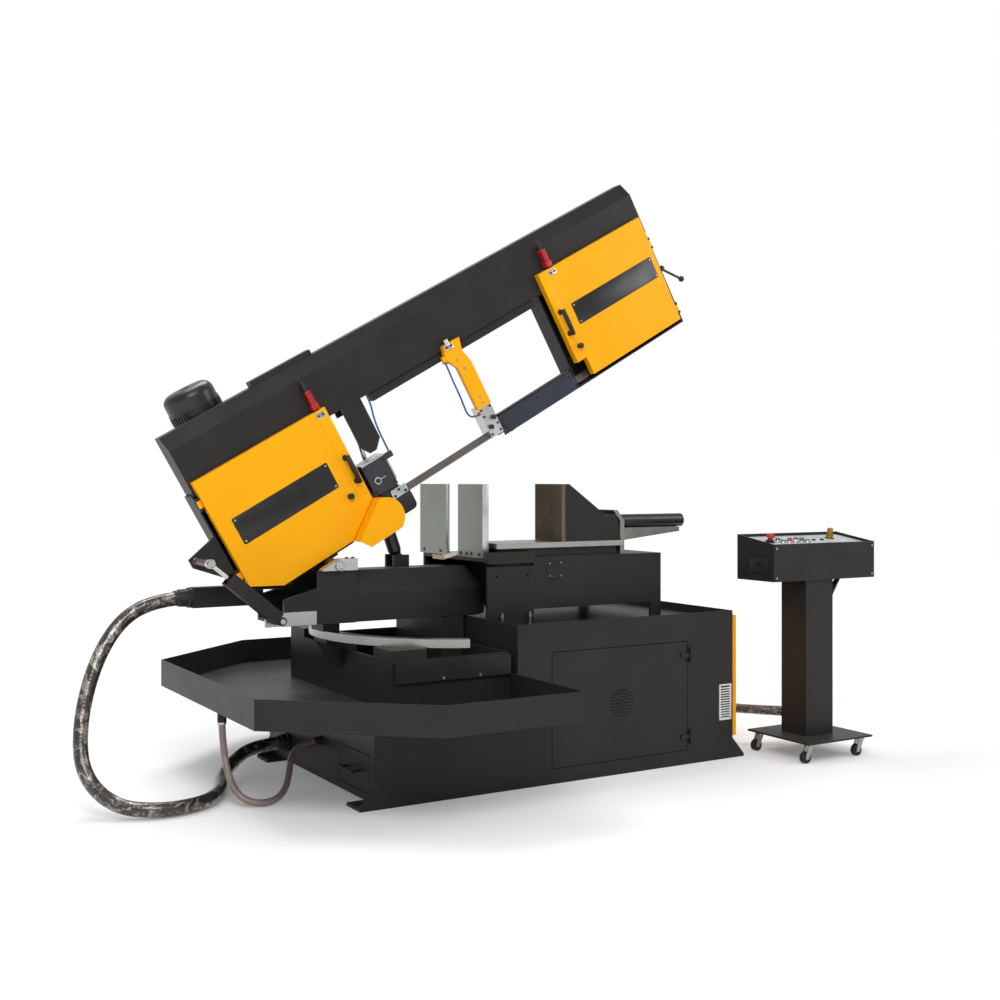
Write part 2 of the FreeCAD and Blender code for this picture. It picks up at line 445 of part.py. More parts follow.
def chip_tray():
    outline = [
        (TRAY_LEFT, -TRAY_BEND_Y), (TRAY_BEND_X, -TRAY_HALF), (TRAY_RIGHT, -TRAY_HALF), (TRAY_RIGHT, TRAY_HALF),
        (TRAY_BEND_X, TRAY_HALF), (TRAY_LEFT, TRAY_BEND_Y),
    ]
    bottom = LOW_TOP
    outer = plate_xy(outline, bottom, TRAY_RIM)
    corners = [Vector(x, y, TRAY_FLOOR) for x, y in outline]
    rim = Part.makePolygon(corners + corners[:1])
    inner = Part.Face(rim.makeOffset2D(-SHEET, 2))
    if inner.Area > Part.Face(rim).Area:
        inner = Part.Face(rim.makeOffset2D(SHEET, 2))
    shell = outer.cut(inner.extrude(Vector(0, 0, TRAY_RIM - TRAY_FLOOR)))
    spigot = bar((SPIGOT_X, SPIGOT_Y, bottom - SPIGOT_LONG), (0, 0, 1), SPIGOT_R, SPIGOT_LONG)
    drain = bar((SPIGOT_X, SPIGOT_Y, bottom - SPIGOT_LONG), (0, 0, 1), SPIGOT_BORE, SPIGOT_LONG + 20)
    return joined(shell, spigot).cut(drain)


def arc_bar(radius, wide, z0, z1, start, stop):
    """Part of a flat ring about the hub axis, between two bearings in degrees."""
    foot, up = Vector(HUB_X, 0, z0), Vector(0, 0, 1)
    outer = Part.makeCylinder(radius + wide / 2, z1 - z0, foot, up, stop - start)
    inner = Part.makeCylinder(radius - wide / 2, z1 - z0, foot, up, stop - start)
    piece = outer.cut(inner)
    piece.rotate(Vector(HUB_X, 0, 0), Vector(0, 0, 1), start)
    return piece


def pedestal():
    """Open box on the tray that carries the mitre rail, with its folded front strip and corner blocks."""
    wall, half = PEDESTAL_WALL, PEDESTAL_HALF
    right = TRAY_RIGHT - SHEET - GAP
    outer = box(PEDESTAL_LEFT, right, -half, half, TRAY_FLOOR, PEDESTAL_TOP)
    inner = box(
        PEDESTAL_LEFT + wall, right - wall, -half + wall, half - wall, TRAY_FLOOR, PEDESTAL_TOP
    )
    strip = box(
        PEDESTAL_LEFT + STRIP_IN, right, -half - STRIP_OUT, -half,
        PEDESTAL_TOP - STRIP_LOW, PEDESTAL_TOP - STRIP_HIGH,
    )
    pieces = [outer.cut(inner), strip]
    under = ARC_TOP - ARC_TALL
    for side in (-1, 1):
        y0, y1 = sorted((side * half, side * (half - ARC_BLOCK)))
        pieces.append(
            box(PEDESTAL_LEFT, PEDESTAL_LEFT + ARC_BLOCK, y0, y1, PEDESTAL_TOP - ARC_BLOCK_DEEP, under)
        )
    rail_left = HUB_X - ARC_R - ARC_WIDE / 2
    ledge = plate_xz(
        [
            (PEDESTAL_LEFT, PEDESTAL_TOP - LEDGE_LOW), (rail_left, under - LEDGE_TIP), (rail_left, under),
            (PEDESTAL_LEFT + LEDGE_IN, under), (PEDESTAL_LEFT + LEDGE_IN, PEDESTAL_TOP - LEDGE_BACK),
        ],
        -LEDGE_HALF, LEDGE_HALF,
    )
    column = box(HUB_X - HUB_R, right, -HUB_R, HUB_R, TRAY_FLOOR, TALL_TOP)
    return joined(*pieces, ledge, column, hub_pin())


def mitre_rail():
    return arc_bar(ARC_R, ARC_WIDE, ARC_TOP - ARC_TALL, ARC_TOP, ARC_FROM, ARC_TO)


def hub_pin():
    """Bearing plate on the cabinet edge and the upright pin that the arm turns on."""
    plate = bar((HUB_X, 0, TALL_TOP), (0, 0, 1), HUB_PLATE_R, ARM_BOTTOM - TALL_TOP - GAP)
    pin = bar((HUB_X, 0, TALL_TOP), (0, 0, 1), HUB_PIN_R, ARM_CREST - TALL_TOP - HUB_PIN_SHORT)
    return joined(plate, pin)


def vise_bed():
    half, skirt = BED_HALF, BED_SKIRT
    top = box(BED_LEFT, BED_RIGHT, -half, half, BED_TOP - BED_SKIN, BED_TOP)
    sides = []
    for side in (-1, 1):
        y0, y1 = sorted((side * half, side * (half - skirt)))
        sides.append(
            plate_xz(
                [
                    (BED_LEFT, PAN_FLOOR), (BED_LEG_LEFT, PAN_FLOOR), (BED_LEG_LEFT, BED_SKIRT_LOW),
                    (BED_LEG_RIGHT, BED_SKIRT_LOW), (BED_LEG_RIGHT, PAN_FLOOR), (BED_RIGHT, PAN_FLOOR),
                    (BED_RIGHT, BED_TOP - BED_SKIN), (BED_LEFT, BED_TOP - BED_SKIN),
                ],
                y0, y1,
            )
        )
    end = box(BED_RIGHT - skirt, BED_RIGHT, -half, half, BED_SKIRT_LOW, BED_TOP - BED_SKIN)
    web = box(BED_LEG_LEFT - skirt, BED_LEG_LEFT, -half, half, BED_SKIRT_LOW, BED_TOP - BED_SKIN)
    strips = [
        box(
            SLAB_LEFT + BED_STRIP_SHORT, SLAB_RIGHT - BED_STRIP_SHORT, y - BED_STRIP_HALF, y + BED_STRIP_HALF,
            BED_TOP, SLAB_TOP - SLAB_THICK,
        )
        for y in (SLAB_FRONT + BED_STRIP_IN, SLAB_BACK - BED_STRIP_IN)
    ]
    apron = box(BED_LEFT, APRON_RIGHT, -half - APRON_THICK, -half, APRON_LOW, APRON_TOP)
    slot = box(BED_LEFT, APRON_RIGHT, -half, -half + skirt, APRON_LOW - APRON_SLOT, APRON_LOW)
    bolts = [
        across(x, ROLLER_BOLT_Z, ROLLER_BOLT_R, -half, -half + skirt) for x in (ROLLER_BOLT_X0, ROLLER_BOLT_X1)
    ]
    return joined(top, end, web, apron, *sides, *strips).cut(Part.makeCompound(bolts + [slot]))


def vise_slab():
    """Ground steel plate that the moving jaw slides on."""
    return box(SLAB_LEFT, SLAB_RIGHT, SLAB_FRONT, SLAB_BACK, SLAB_TOP - SLAB_THICK, SLAB_TOP)


def fixed_jaw(y0, y1, bevel_side):
    """Upright jaw plate with a bevel beside the blade, so that the blade clears it at a mitre."""
    x0, x1 = BED_LEFT, BED_LEFT + JAW_THICK
    if bevel_side > 0:
        outline = [(x0, y0), (x1, y0), (x1, y1 - JAW_BEVEL), (x1 - JAW_BEVEL, y1), (x0, y1)]
    else:
        outline = [(x0, y0), (x1 - JAW_BEVEL, y0), (x1, y0 + JAW_BEVEL), (x1, y1), (x0, y1)]
    return plate_xy(outline, JAW_FOOT, JAW_TOP)


def vise_end_plate():
    """Cranked plate at the end of the slab that carries the vise cylinder, with its gusset bar."""
    x0, y0, y1 = SLAB_RIGHT + CRANK_SEAT, SLAB_FRONT + CRANK_IN, SLAB_BACK - CRANK_IN
    x1, bend, top = x0 + CRANK_THICK, CYLINDER_Z + CRANK_BEND, CYLINDER_Z + CRANK_TOP
    crank = plate_xz(
        [(x0, BED_TOP), (x1, BED_TOP), (x1, bend), (x0 - CRANK_TIP, top), (x0 - CRANK_BACK, top), (x0, bend)],
        y0, y1,
    )
    under, tip = CYLINDER_Z - CYLINDER_R, x1 + CYLINDER_LONG - GUSSET_SHORT
    gusset = plate_xz(
        [(x1, under - 1), (tip, under - 1), (tip, under - GUSSET_TIP), (x1, under - GUSSET_DEEP)],
        CYLINDER_Y - GUSSET_HALF, CYLINDER_Y + GUSSET_HALF,
    )
    start = (x0 - CRANK_BACK, CYLINDER_Y, CYLINDER_Z)
    hole = bar(start, (1, 0, 0), JAW_ROD_R + CRANK_HOLE, CRANK_BACK + CRANK_THICK)
    return joined(crank, gusset).cut(hole)


def vise_cylinder():
    x0 = SLAB_RIGHT + CRANK_SEAT + CRANK_THICK
    start = (x0, CYLINDER_Y, CYLINDER_Z)
    barrel = bar(start, (1, 0, 0), CYLINDER_R, CYLINDER_LONG)
    bore = bar(start, (1, 0, 0), JAW_ROD_R + SHAFT_GAP, CYLINDER_LONG - CYLINDER_END)
    cap = bar((x0 + CYLINDER_LONG, CYLINDER_Y, CYLINDER_Z), (1, 0, 0), CYLINDER_CAP_R, CYLINDER_CAP_LONG)
    return joined(barrel, cap).cut(bore)


def moving_jaw():
    """Wedge-backed jaw body on its slide, with the piston rod that pushes it."""
    x0 = MOVING_FACE + MOVING_FACE_THICK
    low = SLAB_TOP + GAP
    wedge = plate_xz(
        [
            (x0, low), (MOVING_BACK, low), (MOVING_BACK - WEDGE_TAIL, CYLINDER_Z + WEDGE_TAIL_TOP),
            (MOVING_BACK - WEDGE_KNEE, CYLINDER_Z + WEDGE_KNEE_TOP), (x0 + WEDGE_LIP, JAW_TOP), (x0, JAW_TOP),
        ],
        SLAB_FRONT, MOVING_JAW_BACK,
    )
    floor = low + POCKET_FLOOR
    pocket = plate_xz(
        [
            (x0 + WEDGE_LIP, floor), (MOVING_BACK - POCKET_FLOOR, floor),
            (MOVING_BACK - POCKET_TAIL, CYLINDER_Z + POCKET_TAIL_TOP), (x0 + WEDGE_LIP, JAW_TOP - POCKET_TOP),
        ],
        SLAB_FRONT + POCKET_WALL, MOVING_JAW_BACK - POCKET_WALL,
    )
    start = MOVING_BACK - ROD_GRIP
    rod = bar((start, CYLINDER_Y, CYLINDER_Z), (1, 0, 0), JAW_ROD_R, SLAB_RIGHT + CYLINDER_LONG - start)
    return joined(wedge.cut(pocket), rod)


def moving_jaw_face():
    """Serrated jaw plate."""
    x0, x1 = MOVING_FACE, MOVING_FACE + MOVING_FACE_THICK
    count = int((MOVING_JAW_BACK - SLAB_FRONT) // SERRATION_PITCH)
    outline = [(x1, MOVING_JAW_BACK), (x1, SLAB_FRONT), (x0, SLAB_FRONT)]
    for k in range(1, count + 1):
        y = SLAB_FRONT + k * SERRATION_PITCH
        outline += [(x0 + SERRATION_DEEP, y - SERRATION_PITCH / 2), (x0, y)]
    outline.append((x0, MOVING_JAW_BACK))
    return plate_xy(outline, SLAB_TOP + GAP, JAW_TOP)


def pump_unit():
    """Hydraulic tank with its upright motor, behind the vented door."""
    middle = (PUMP_FRONT + PUMP_BACK) / 2
    tank = box(PUMP_LEFT, PUMP_RIGHT, PUMP_FRONT, PUMP_BACK, CABINET_FLOOR, TANK_TOP)
    motor = bar((VENT_X, middle, TANK_TOP), (0, 0, 1), PUMP_R, PUMP_TOP - TANK_TOP)
    fan = bar((VENT_X, middle, PUMP_TOP), (0, 0, 1), PUMP_FAN_R, PUMP_FAN_TOP - PUMP_TOP)
    x1 = PUMP_RIGHT - VALVE_IN
    valve = box(x1 - VALVE_LONG, x1, PUMP_FRONT + VALVE_SIDE, PUMP_BACK - VALVE_SIDE, TANK_TOP, VALVE_TOP)
    return joined(tank, motor, fan, valve)


# ---- mitre arm -----------------------------------------------------------------------------------------
def arm_section(margin, z_low):
    """Cross section of the arm beam: upright sides and a sloped crest."""
    half = ARM_HALF - margin
    return [
        (-half, z_low), (half, z_low), (half, ARM_SIDE), (half - ARM_SLOPE, ARM_CREST - margin),
        (-half + ARM_SLOPE, ARM_CREST - margin), (-half, ARM_SIDE),
    ]


def mitre_arm():
    beam = plate_yz(arm_section(0, ARM_BOTTOM), ARM_LEFT, HUB_X)
    hollow = plate_yz(arm_section(ARM_WALL, ARM_BOTTOM + ARM_WALL), ARM_LEFT + ARM_WALL, HUB_X - HUB_R)
    hub = bar((HUB_X, 0, ARM_BOTTOM), (0, 0, 1), HUB_R, ARM_SIDE - ARM_BOTTOM)
    crown = Part.makeCone(HUB_R, CROWN_R, ARM_CREST - ARM_SIDE, Vector(HUB_X, 0, ARM_SIDE))
    bore = bar((HUB_X, 0, ARM_BOTTOM), (0, 0, 1), HUB_PIN_R + SHAFT_GAP, ARM_CREST - ARM_BOTTOM)
    pieces = [beam.cut(hollow), hub, crown]
    cheek = [
        (ARM_LEFT, ARM_BOTTOM), (ARM_LEFT, CHEEK_TOP), (CHEEK_POST, CHEEK_TOP), (CHEEK_POST, CHEEK_RAMP_TOP),
        (CHEEK_LEFT, CHEEK_LOW_TOP), (CHEEK_LEFT, ARM_BOTTOM),
    ]
    for y in (-ARM_HALF - CHEEK_THICK, ARM_HALF):
        pieces.append(plate_xz(cheek, y, y + CHEEK_THICK))
    outer = ARM_HALF + CHEEK_THICK
    pieces.append(box(CHEEK_LEFT, ARM_LEFT, -outer, outer, ARM_BOTTOM, ARM_BOTTOM + ARM_WALL))
    pieces.append(box(ARM_LEFT - ARM_WALL, ARM_LEFT, -outer, outer, ARM_BOTTOM, CHEEK_TOP))
    rail_x = HUB_X - ARC_R
    shoe = box(rail_x - SHOE_HALF, rail_x + SHOE_HALF, -SHOE_WIDE, SHOE_WIDE, ARC_TOP + GAP, ARM_BOTTOM)
    clevis_x, clevis_z = LIFT_FOOT
    front = LIFT_Y - LIFT_BARREL_R - CLEVIS_SIDE - CLEVIS_THICK
    rear = LIFT_Y + LIFT_BARREL_R + CLEVIS_SIDE
    for y in (front, rear):
        x0, x1 = clevis_x - CLEVIS_HALF, clevis_x + CLEVIS_HALF
        pieces.append(box(x0, x1, y, y + CLEVIS_THICK, ARM_SIDE, clevis_z + CLEVIS_OVER))
    arm = joined(*pieces, shoe).cut(bore)
    return joined(arm, across(clevis_x, clevis_z, LINK_PIN_R, front, rear + CLEVIS_THICK))


def pivot_mount():
    """The bow's shaft and the two aluminium blocks that clamp it to the cheeks."""
    y0 = ARM_HALF - PILLOW_OVER
    y1 = y0 + PILLOW_DEEP
    x0, x1 = PIVOT_X - PILLOW_WIDE / 2, PIVOT_X + PILLOW_WIDE / 2
    z0, z1 = CHEEK_TOP, CHEEK_TOP + PILLOW_TALL
    outline = [(x0, z0), (x1, z0), (x1, z1), (PIVOT_X - PILLOW_NECK, z1), (x0, z0 + PILLOW_TOE)]
    front, rear = plate_xz(outline, -y1, -y0), plate_xz(outline, y0, y1)
    shaft = across(PIVOT_X, PIVOT_Z, PIVOT_R, -y1 - SHAFT_OUT, y1 + SHAFT_OUT)
    return joined(shaft, front, rear)


def strut_bracket():
    """Aluminium bar on the front cheek with the strut's lower pin."""
    x, z = STRUT_FOOT
    y0 = -ARM_HALF - CHEEK_THICK
    plate = box(
        x - STRUT_PLATE_END, STRUT_PLATE_RIGHT, y0 - STRUT_PLATE_THICK, y0,
        z - STRUT_PLATE_HALF, z + STRUT_PLATE_HALF,
    )
    pin = across(x, z, LINK_PIN_R, STRUT_Y - STRUT_HALF - STRUT_PIN_OUT, y0)
    return joined(plate, pin)


def junction_box():
    """Channel on the rear cheek where the main conduit ends."""
    low = ARM_BOTTOM + JUNCTION_LOW
    channel = box(JUNCTION_LEFT, CHEEK_LEFT, ARM_HALF - JUNCTION_WIDE, ARM_HALF, low, low + JUNCTION_TALL)
    tab = box(
        CHEEK_LEFT, CHEEK_LEFT + JUNCTION_TAB_LONG, ARM_HALF - JUNCTION_TAB_THICK, ARM_HALF,
        low, low + JUNCTION_TAB_TALL,
    )
    return joined(channel, tab)


# ---- bow -----------------------------------------------------------------------------------------------
def beam_section(margin):
    return [
        (BOW_FRONT + margin, BEAM_LOW + margin), (BOW_BACK - margin, BEAM_LOW + margin),
        (BOW_BACK - margin, BEAM_TOP - margin), (BOW_FRONT + BEAM_SLOPE + margin / 2, BEAM_TOP - margin),
        (BOW_FRONT + margin, BEAM_BEND),
    ]


def wheel_room(centre):
    """Space that a wheel and the blade on it need inside the beam and housing."""
    return across(centre, WHEEL_T, WHEEL_R + WHEEL_SPACE, BOW_FRONT, WHEEL_SPACE_BACK)


def bow_beam():
    solid = plate_yz(beam_section(0), BEAM_LEFT, BEAM_RIGHT)
    hollow = plate_yz(beam_section(BEAM_WALL), BEAM_LEFT + BEAM_WALL, BEAM_RIGHT - BEAM_WALL)
    beam = solid.cut(hollow).cut(wheel_room(DRIVE_S)).cut(wheel_room(IDLER_S))
    head_s, head_t = LIFT_HEAD
    left, right = head_s - 73, head_s + 24
    front_plate = plate_xz(
        [(left, BEAM_LOW), (right, BEAM_LOW), (right, 330), (right - 38, 292), (left + 28, 292), (left, 330)],
        BOW_FRONT, BOW_FRONT + 10,
    )
    rear_y = LIFT_Y + LIFT_BARREL_R - 8
    rear_plate = box(head_s - 53, head_s + 43, rear_y, rear_y + 10, head_t - 18, BEAM_LOW + 40)
    pad = box(head_s - 53, head_s + 43, BOW_BACK, rear_y + 10, BEAM_LOW + 1, BEAM_LOW + 40)
    pin = across(head_s, head_t, LINK_PIN_R, BOW_FRONT + 10, rear_y)
    hatch = box(85, 370, 12, 58, BEAM_TOP, BEAM_TOP + 22)
    return at_tilt(joined(beam, front_plate, rear_plate, pad, pin, hatch))


def housing(outline, centre):
    """Open-fronted box round a wheel."""
    shell = plate_xz(outline, BOW_FRONT, HOUSING_BACK)
    hollow = inner_plate(outline, HOUSING_WALL, BOW_FRONT, HOUSING_BACK - HOUSING_WALL)
    return shell.cut(hollow).cut(wheel_room(centre))


def left_housing():
    left = DRIVE_BOX[0][0]
    shell = housing(DRIVE_BOX, DRIVE_S)
    right = DRIVE_BOX[-1][0]
    blade_way = box(
        right - BLADE_WAY_IN, right + BLADE_WAY_OUT, -BLADE_WAY_HALF, BLADE_WAY_HALF, BLADE_WAY_LOW, BLADE_WAY_HIGH
    )
    sleeve = across(0, 0, SLEEVE_R, -SLEEVE_HALF, SLEEVE_HALF)
    saddle = box(-SADDLE_HALF, SADDLE_HALF, BOW_FRONT, HOUSING_BACK, SADDLE_LOW, SADDLE_HIGH)
    bore = across(0, 0, PIVOT_R + SHAFT_GAP, -SLEEVE_HALF, SLEEVE_HALF)
    eye_s, eye_t = STRUT_EYE
    tip = eye_s - EAR_REACH
    ear = plate_xz(
        [(left, EAR_HIGH), (tip, eye_t + EAR_HALF), (tip, eye_t - EAR_HALF), (left, EAR_LOW)],
        BOW_FRONT, BOW_FRONT + EAR_THICK,
    )
    pin = across(eye_s, eye_t, LINK_PIN_R, STRUT_Y - STRUT_PIN_OVER, BOW_FRONT)
    hole = across(DRIVE_S, WHEEL_T, SHAFT_R + SHAFT_GAP, HOUSING_BACK - HOUSING_WALL, HOUSING_BACK)
    pins = door_pins(LEFT_DOOR[0][0] - HINGE_REACH, LEFT_HINGES, -1)
    body = joined(shell.cut(blade_way), sleeve, saddle, ear, pin, *pins).cut(bore).cut(hole)
    return at_tilt(body)


def right_housing():
    low = BLADE_T - BLADE_HIGH / 2 - HOUSING_SKIN
    outline = [(IDLER_LEFT, BEAM_LOW), (IDLER_LEFT, low), (IDLER_RIGHT, low), (IDLER_RIGHT, BEAM_LOW)]
    shell = housing(outline, IDLER_S)
    blade_way = box(
        IDLER_LEFT - 5, IDLER_LEFT + 11, -BLADE_WAY_HALF, BLADE_WAY_HALF, low + HOUSING_WALL, IDLER_WAY_HIGH
    )
    spindle = across(IDLER_S, WHEEL_T, SHAFT_R, -WHEEL_WIDE / 2 - 6, HOUSING_BACK - HOUSING_WALL)
    boss = across(IDLER_S, WHEEL_T, SHAFT_HUB_R, WHEEL_WIDE / 2 + GAP, HOUSING_BACK - HOUSING_WALL)
    screw = bar((IDLER_RIGHT, LEVER_Y, LEVER_T), (1, 0, 0), LEVER_SCREW_R, LEVER_SCREW_LONG)
    pins = door_pins(RIGHT_DOOR[1][0] + HINGE_REACH, RIGHT_HINGES, 1)
    return at_tilt(joined(shell.cut(blade_way), spindle, boss, screw, *pins))


def wheel(centre, shaft_out):
    """Cast wheel with a rim, a web with round holes and a hub."""
    half = WHEEL_WIDE / 2
    disc = across(centre, WHEEL_T, WHEEL_R, -half, half)
    for y0, y1 in ((-half, -WEB_HALF), (WEB_HALF, half)):
        dish = across(centre, WHEEL_T, WHEEL_R - WHEEL_RIM, y0, y1)
        disc = disc.cut(dish.cut(across(centre, WHEEL_T, SHAFT_HUB_R, y0, y1)))
    holes = []
    for k in range(WHEEL_HOLES):
        turn = 2 * math.pi * k / WHEEL_HOLES
        s = centre + WHEEL_HOLE_RING * math.cos(turn)
        t = WHEEL_T + WHEEL_HOLE_RING * math.sin(turn)
        holes.append(across(s, t, WHEEL_HOLE_R, -half, half))
    disc = disc.cut(Part.makeCompound(holes))
    if shaft_out:
        return at_tilt(joined(disc, across(centre, WHEEL_T, SHAFT_R, half, HOUSING_BACK + 30)))
    return at_tilt(disc.cut(across(centre, WHEEL_T, SHAFT_R + SHAFT_GAP, -half, half)))


def band_section(s, t, turn, y=0.0):
    """Blade section at one place, turned about the blade's own line."""
    along_y, along_t = math.sin(turn), math.cos(turn)
    half_h, half_w = BLADE_HIGH / 2, BLADE_THICK / 2
    corners = []
    for h, w in ((-half_h, -half_w), (half_h, -half_w), (half_h, half_w), (-half_h, half_w)):
        corners.append(Vector(s, y + h * along_y + w * along_t, t + h * along_t - w * along_y))
    return Part.makePolygon(corners + corners[:1])


def twisted_band(s0, s1, turn0, turn1, steps):
    sections = [
        band_section(s0 + (s1 - s0) * k / steps, BLADE_T, math.radians(turn0 + (turn1 - turn0) * k / steps))
        for k in range(steps + 1)
    ]
    return Part.makeLoft(sections, True, True)


def saw_blade():
    """Endless band: flat on the wheels, turned on edge between the guides, where its teeth are cut."""
    half, thick = BLADE_HIGH / 2, BLADE_THICK
    inner_r = WHEEL_T - BLADE_T - thick / 2
    outer_r = inner_r + thick
    drive = across(DRIVE_S, WHEEL_T, outer_r, -half, half).cut(across(DRIVE_S, WHEEL_T, inner_r, -half, half))
    drive = drive.common(box(DRIVE_S - outer_r, DRIVE_S, -half, half, WHEEL_T - outer_r, WHEEL_T + outer_r))
    idler = across(IDLER_S, WHEEL_T, outer_r, -half, half).cut(across(IDLER_S, WHEEL_T, inner_r, -half, half))
    idler = idler.common(box(IDLER_S, IDLER_S + outer_r, -half, half, WHEEL_T - outer_r, WHEEL_T + outer_r))
    back = box(DRIVE_S, IDLER_S, -half, half, WHEEL_T + inner_r, WHEEL_T + outer_r)
    flat_low, flat_high = BLADE_T - thick / 2, BLADE_T + thick / 2
    flat_left = box(DRIVE_S, DRIVE_S + FLAT_RUN, -half, half, flat_low, flat_high)
    flat_right = box(IDLER_S - FLAT_RUN, IDLER_S, -half, half, flat_low, flat_high)
    left = twisted_band(DRIVE_S + FLAT_RUN, CUT_FROM, 90, 0, 6)
    right = twisted_band(CUT_TO, IDLER_S - FLAT_RUN, 0, 90, 6)
    low, high = BLADE_T - half, BLADE_T + half
    outline = [(CUT_TO, low), (CUT_TO, high), (CUT_FROM, high), (CUT_FROM, low)]
    count = int((CUT_TO - CUT_FROM) // TOOTH_PITCH)
    start = CUT_FROM + (CUT_TO - CUT_FROM - count * TOOTH_PITCH) / 2
    for k in range(count):
        s = start + k * TOOTH_PITCH
        outline += [(s + 0.5 * TOOTH_PITCH, low + TOOTH_DEEP), (s + 0.95 * TOOTH_PITCH, low)]
    straight = plate_xz(outline, -thick / 2, thick / 2)
    return at_tilt(joined(drive, idler, back, flat_left, flat_right, left, right, straight))


def blade_slot(s0, s1):
    """Slot for the blade in a guide, open at the bottom."""
    half = BLADE_THICK / 2 + PAD_GAP
    return box(s0, s1, -half, half, 0, BLADE_T + BLADE_HIGH / 2 + PAD_GAP)


def drive_unit():
    """Worm gearbox behind the drive wheel, with the upright motor and its domed fan cover."""
    s0, s1, t0, t1 = GEARBOX
    case = box(s0, s1, HOUSING_BACK, MOTOR_Y + 80, t0, t1)
    case = case.makeFillet(18, [e for e in case.Edges if abs(e.Vertexes[0].X - e.Vertexes[-1].X) > 1])
    flange = bar((MOTOR_S, MOTOR_Y, t1 - 1), (0, 0, 1), MOTOR_R + 10, 18)
    motor = bar((MOTOR_S, MOTOR_Y, t1), (0, 0, 1), MOTOR_R, FAN_LOW - t1)
    cowl = bar((MOTOR_S, MOTOR_Y, FAN_LOW), (0, 0, 1), FAN_R, MOTOR_TOP - FAN_LOW)
    rim = [e for e in cowl.Edges if e.BoundBox.ZMin > MOTOR_TOP - 1]
    cowl = cowl.makeFillet(38, rim)
    bore = across(DRIVE_S, WHEEL_T, SHAFT_R + SHAFT_GAP, HOUSING_BACK, HOUSING_BACK + 32)
    return at_tilt(joined(case, flange, motor, cowl).cut(bore))


def door_shell(outline):
    """Box door: a front sheet with its edges turned back."""
    outer = plate_xz(outline, DOOR_FRONT, DOOR_INSIDE)
    return outer.cut(inner_plate(outline, THIN_SHEET, DOOR_FRONT + THIN_SHEET, DOOR_INSIDE))


def grip(s, t0, t1):
    """Bow handle on a door."""
    out = DOOR_FRONT - GRIP_OUT
    posts = [across(s, t, GRIP_POST_R, out, DOOR_FRONT) for t in (t0 + GRIP_R, t1 - GRIP_R)]
    return joined(bar((s, out, t0), (0, 0, 1), GRIP_R, t1 - t0), *posts)


def door_hinge(s, low, side):
    """Knuckle of a wheel door and its strap."""
    y = DOOR_INSIDE - DOOR_PIN_IN
    sleeve = bar((s, y, low), (0, 0, 1), HINGE_PIN_R + KNUCKLE_WALL, DOOR_KNUCKLE)
    s0, s1 = sorted((s, s - side * DOOR_STRAP))
    strap = box(s0, s1, y - DOOR_STRAP_HALF, y + DOOR_STRAP_HALF, low, low + DOOR_KNUCKLE)
    return joined(sleeve, strap).cut(bar((s, y, low), (0, 0, 1), HINGE_PIN_R + SHAFT_GAP, DOOR_KNUCKLE))


def left_door():
    knuckles = [door_hinge(LEFT_DOOR[0][0] - HINGE_REACH, low, -1) for low in LEFT_HINGES]
    return at_tilt(joined(door_shell(LEFT_DOOR), grip(*LEFT_GRIP), *knuckles))


def right_door():
    knuckles = [door_hinge(RIGHT_DOOR[1][0] + HINGE_REACH, low, 1) for low in RIGHT_HINGES]
    return at_tilt(joined(door_shell(RIGHT_DOOR), grip(*RIGHT_GRIP), *knuckles))


def door_pins(s, lows, side):
    """Hinge pins of a wheel door, on lugs of its housing."""
    y, back = DOOR_INSIDE - DOOR_PIN_IN, BOW_FRONT + DOOR_LUG_IN
    s0, s1 = sorted((s + side * DOOR_LUG_OUT, s - side * DOOR_LUG_BACK))
    front, tall = y - HINGE_PIN_R, DOOR_LUG_TALL
    pieces = []
    for low in lows:
        high = low + DOOR_KNUCKLE
        pieces.append(bar((s, y, low - tall), (0, 0, 1), HINGE_PIN_R, DOOR_KNUCKLE + 2 * tall))
        pieces.append(box(s0, s1, front, back, low - tall, low - GAP))
        pieces.append(box(s0, s1, front, back, high + GAP, high + tall))
    return pieces


def guide_rail():
    """Dovetail rail under the beam."""
    half = RAIL_DEEP / 2
    middle = (BOW_FRONT + BOW_BACK) / 2 - 20
    return at_tilt(
        plate_yz(
            [
                (middle - half + 8, BEAM_LOW), (middle + half - 8, BEAM_LOW), (middle + half, RAIL_LOW),
                (middle - half, RAIL_LOW),
            ],
            RAIL_S0, RAIL_S1,
        )
    )


def guide_arm():
    """Yellow arm that hangs from the rail with a knee in it, carries the moving guide and holds a hose port."""
    middle, half = (BOW_FRONT + BOW_BACK) / 2 - 20, RAIL_DEEP / 2
    front = BOW_FRONT - 1
    left, right, knee = GUIDE_S - ARM_REACH, GUIDE_S + ARM_TIP, ARM_KNEE
    plate = plate_xz(
        [
            (left, BEAM_LOW + 19), (right, BEAM_LOW + 19), (right - knee, BEAM_LOW - 37),
            (GUIDE_S + ARM_NOSE, ARM_ELBOW), (GUIDE_S + ARM_NOSE, GUIDE_HIGH), (GUIDE_S - ARM_NECK, GUIDE_HIGH),
            (GUIDE_S - ARM_NECK, ARM_ELBOW), (left - knee, BEAM_LOW - 37),
        ],
        front - ARM_PLATE, front,
    )
    shelf = box(left, right - knee, front, middle + half, RAIL_LOW - 24, RAIL_LOW - GAP)
    port_s, port_y, port_t = COOLANT_RIGHT[0]
    port = box(port_s - PORT_HALF, left, port_y - PORT_HALF, port_y + PORT_HALF, port_t, port_t + 3 * PORT_HALF)
    return at_tilt(joined(plate, shelf, port))


def guide_head():
    s0, s1 = GUIDE_S - GUIDE_WIDE / 2, GUIDE_S + GUIDE_WIDE / 2
    block = box(s0, s1, -GUIDE_HALF, GUIDE_HALF, GUIDE_LOW, GUIDE_HIGH)
    block = block.cut(blade_slot(s0, s1))
    return at_tilt(block)


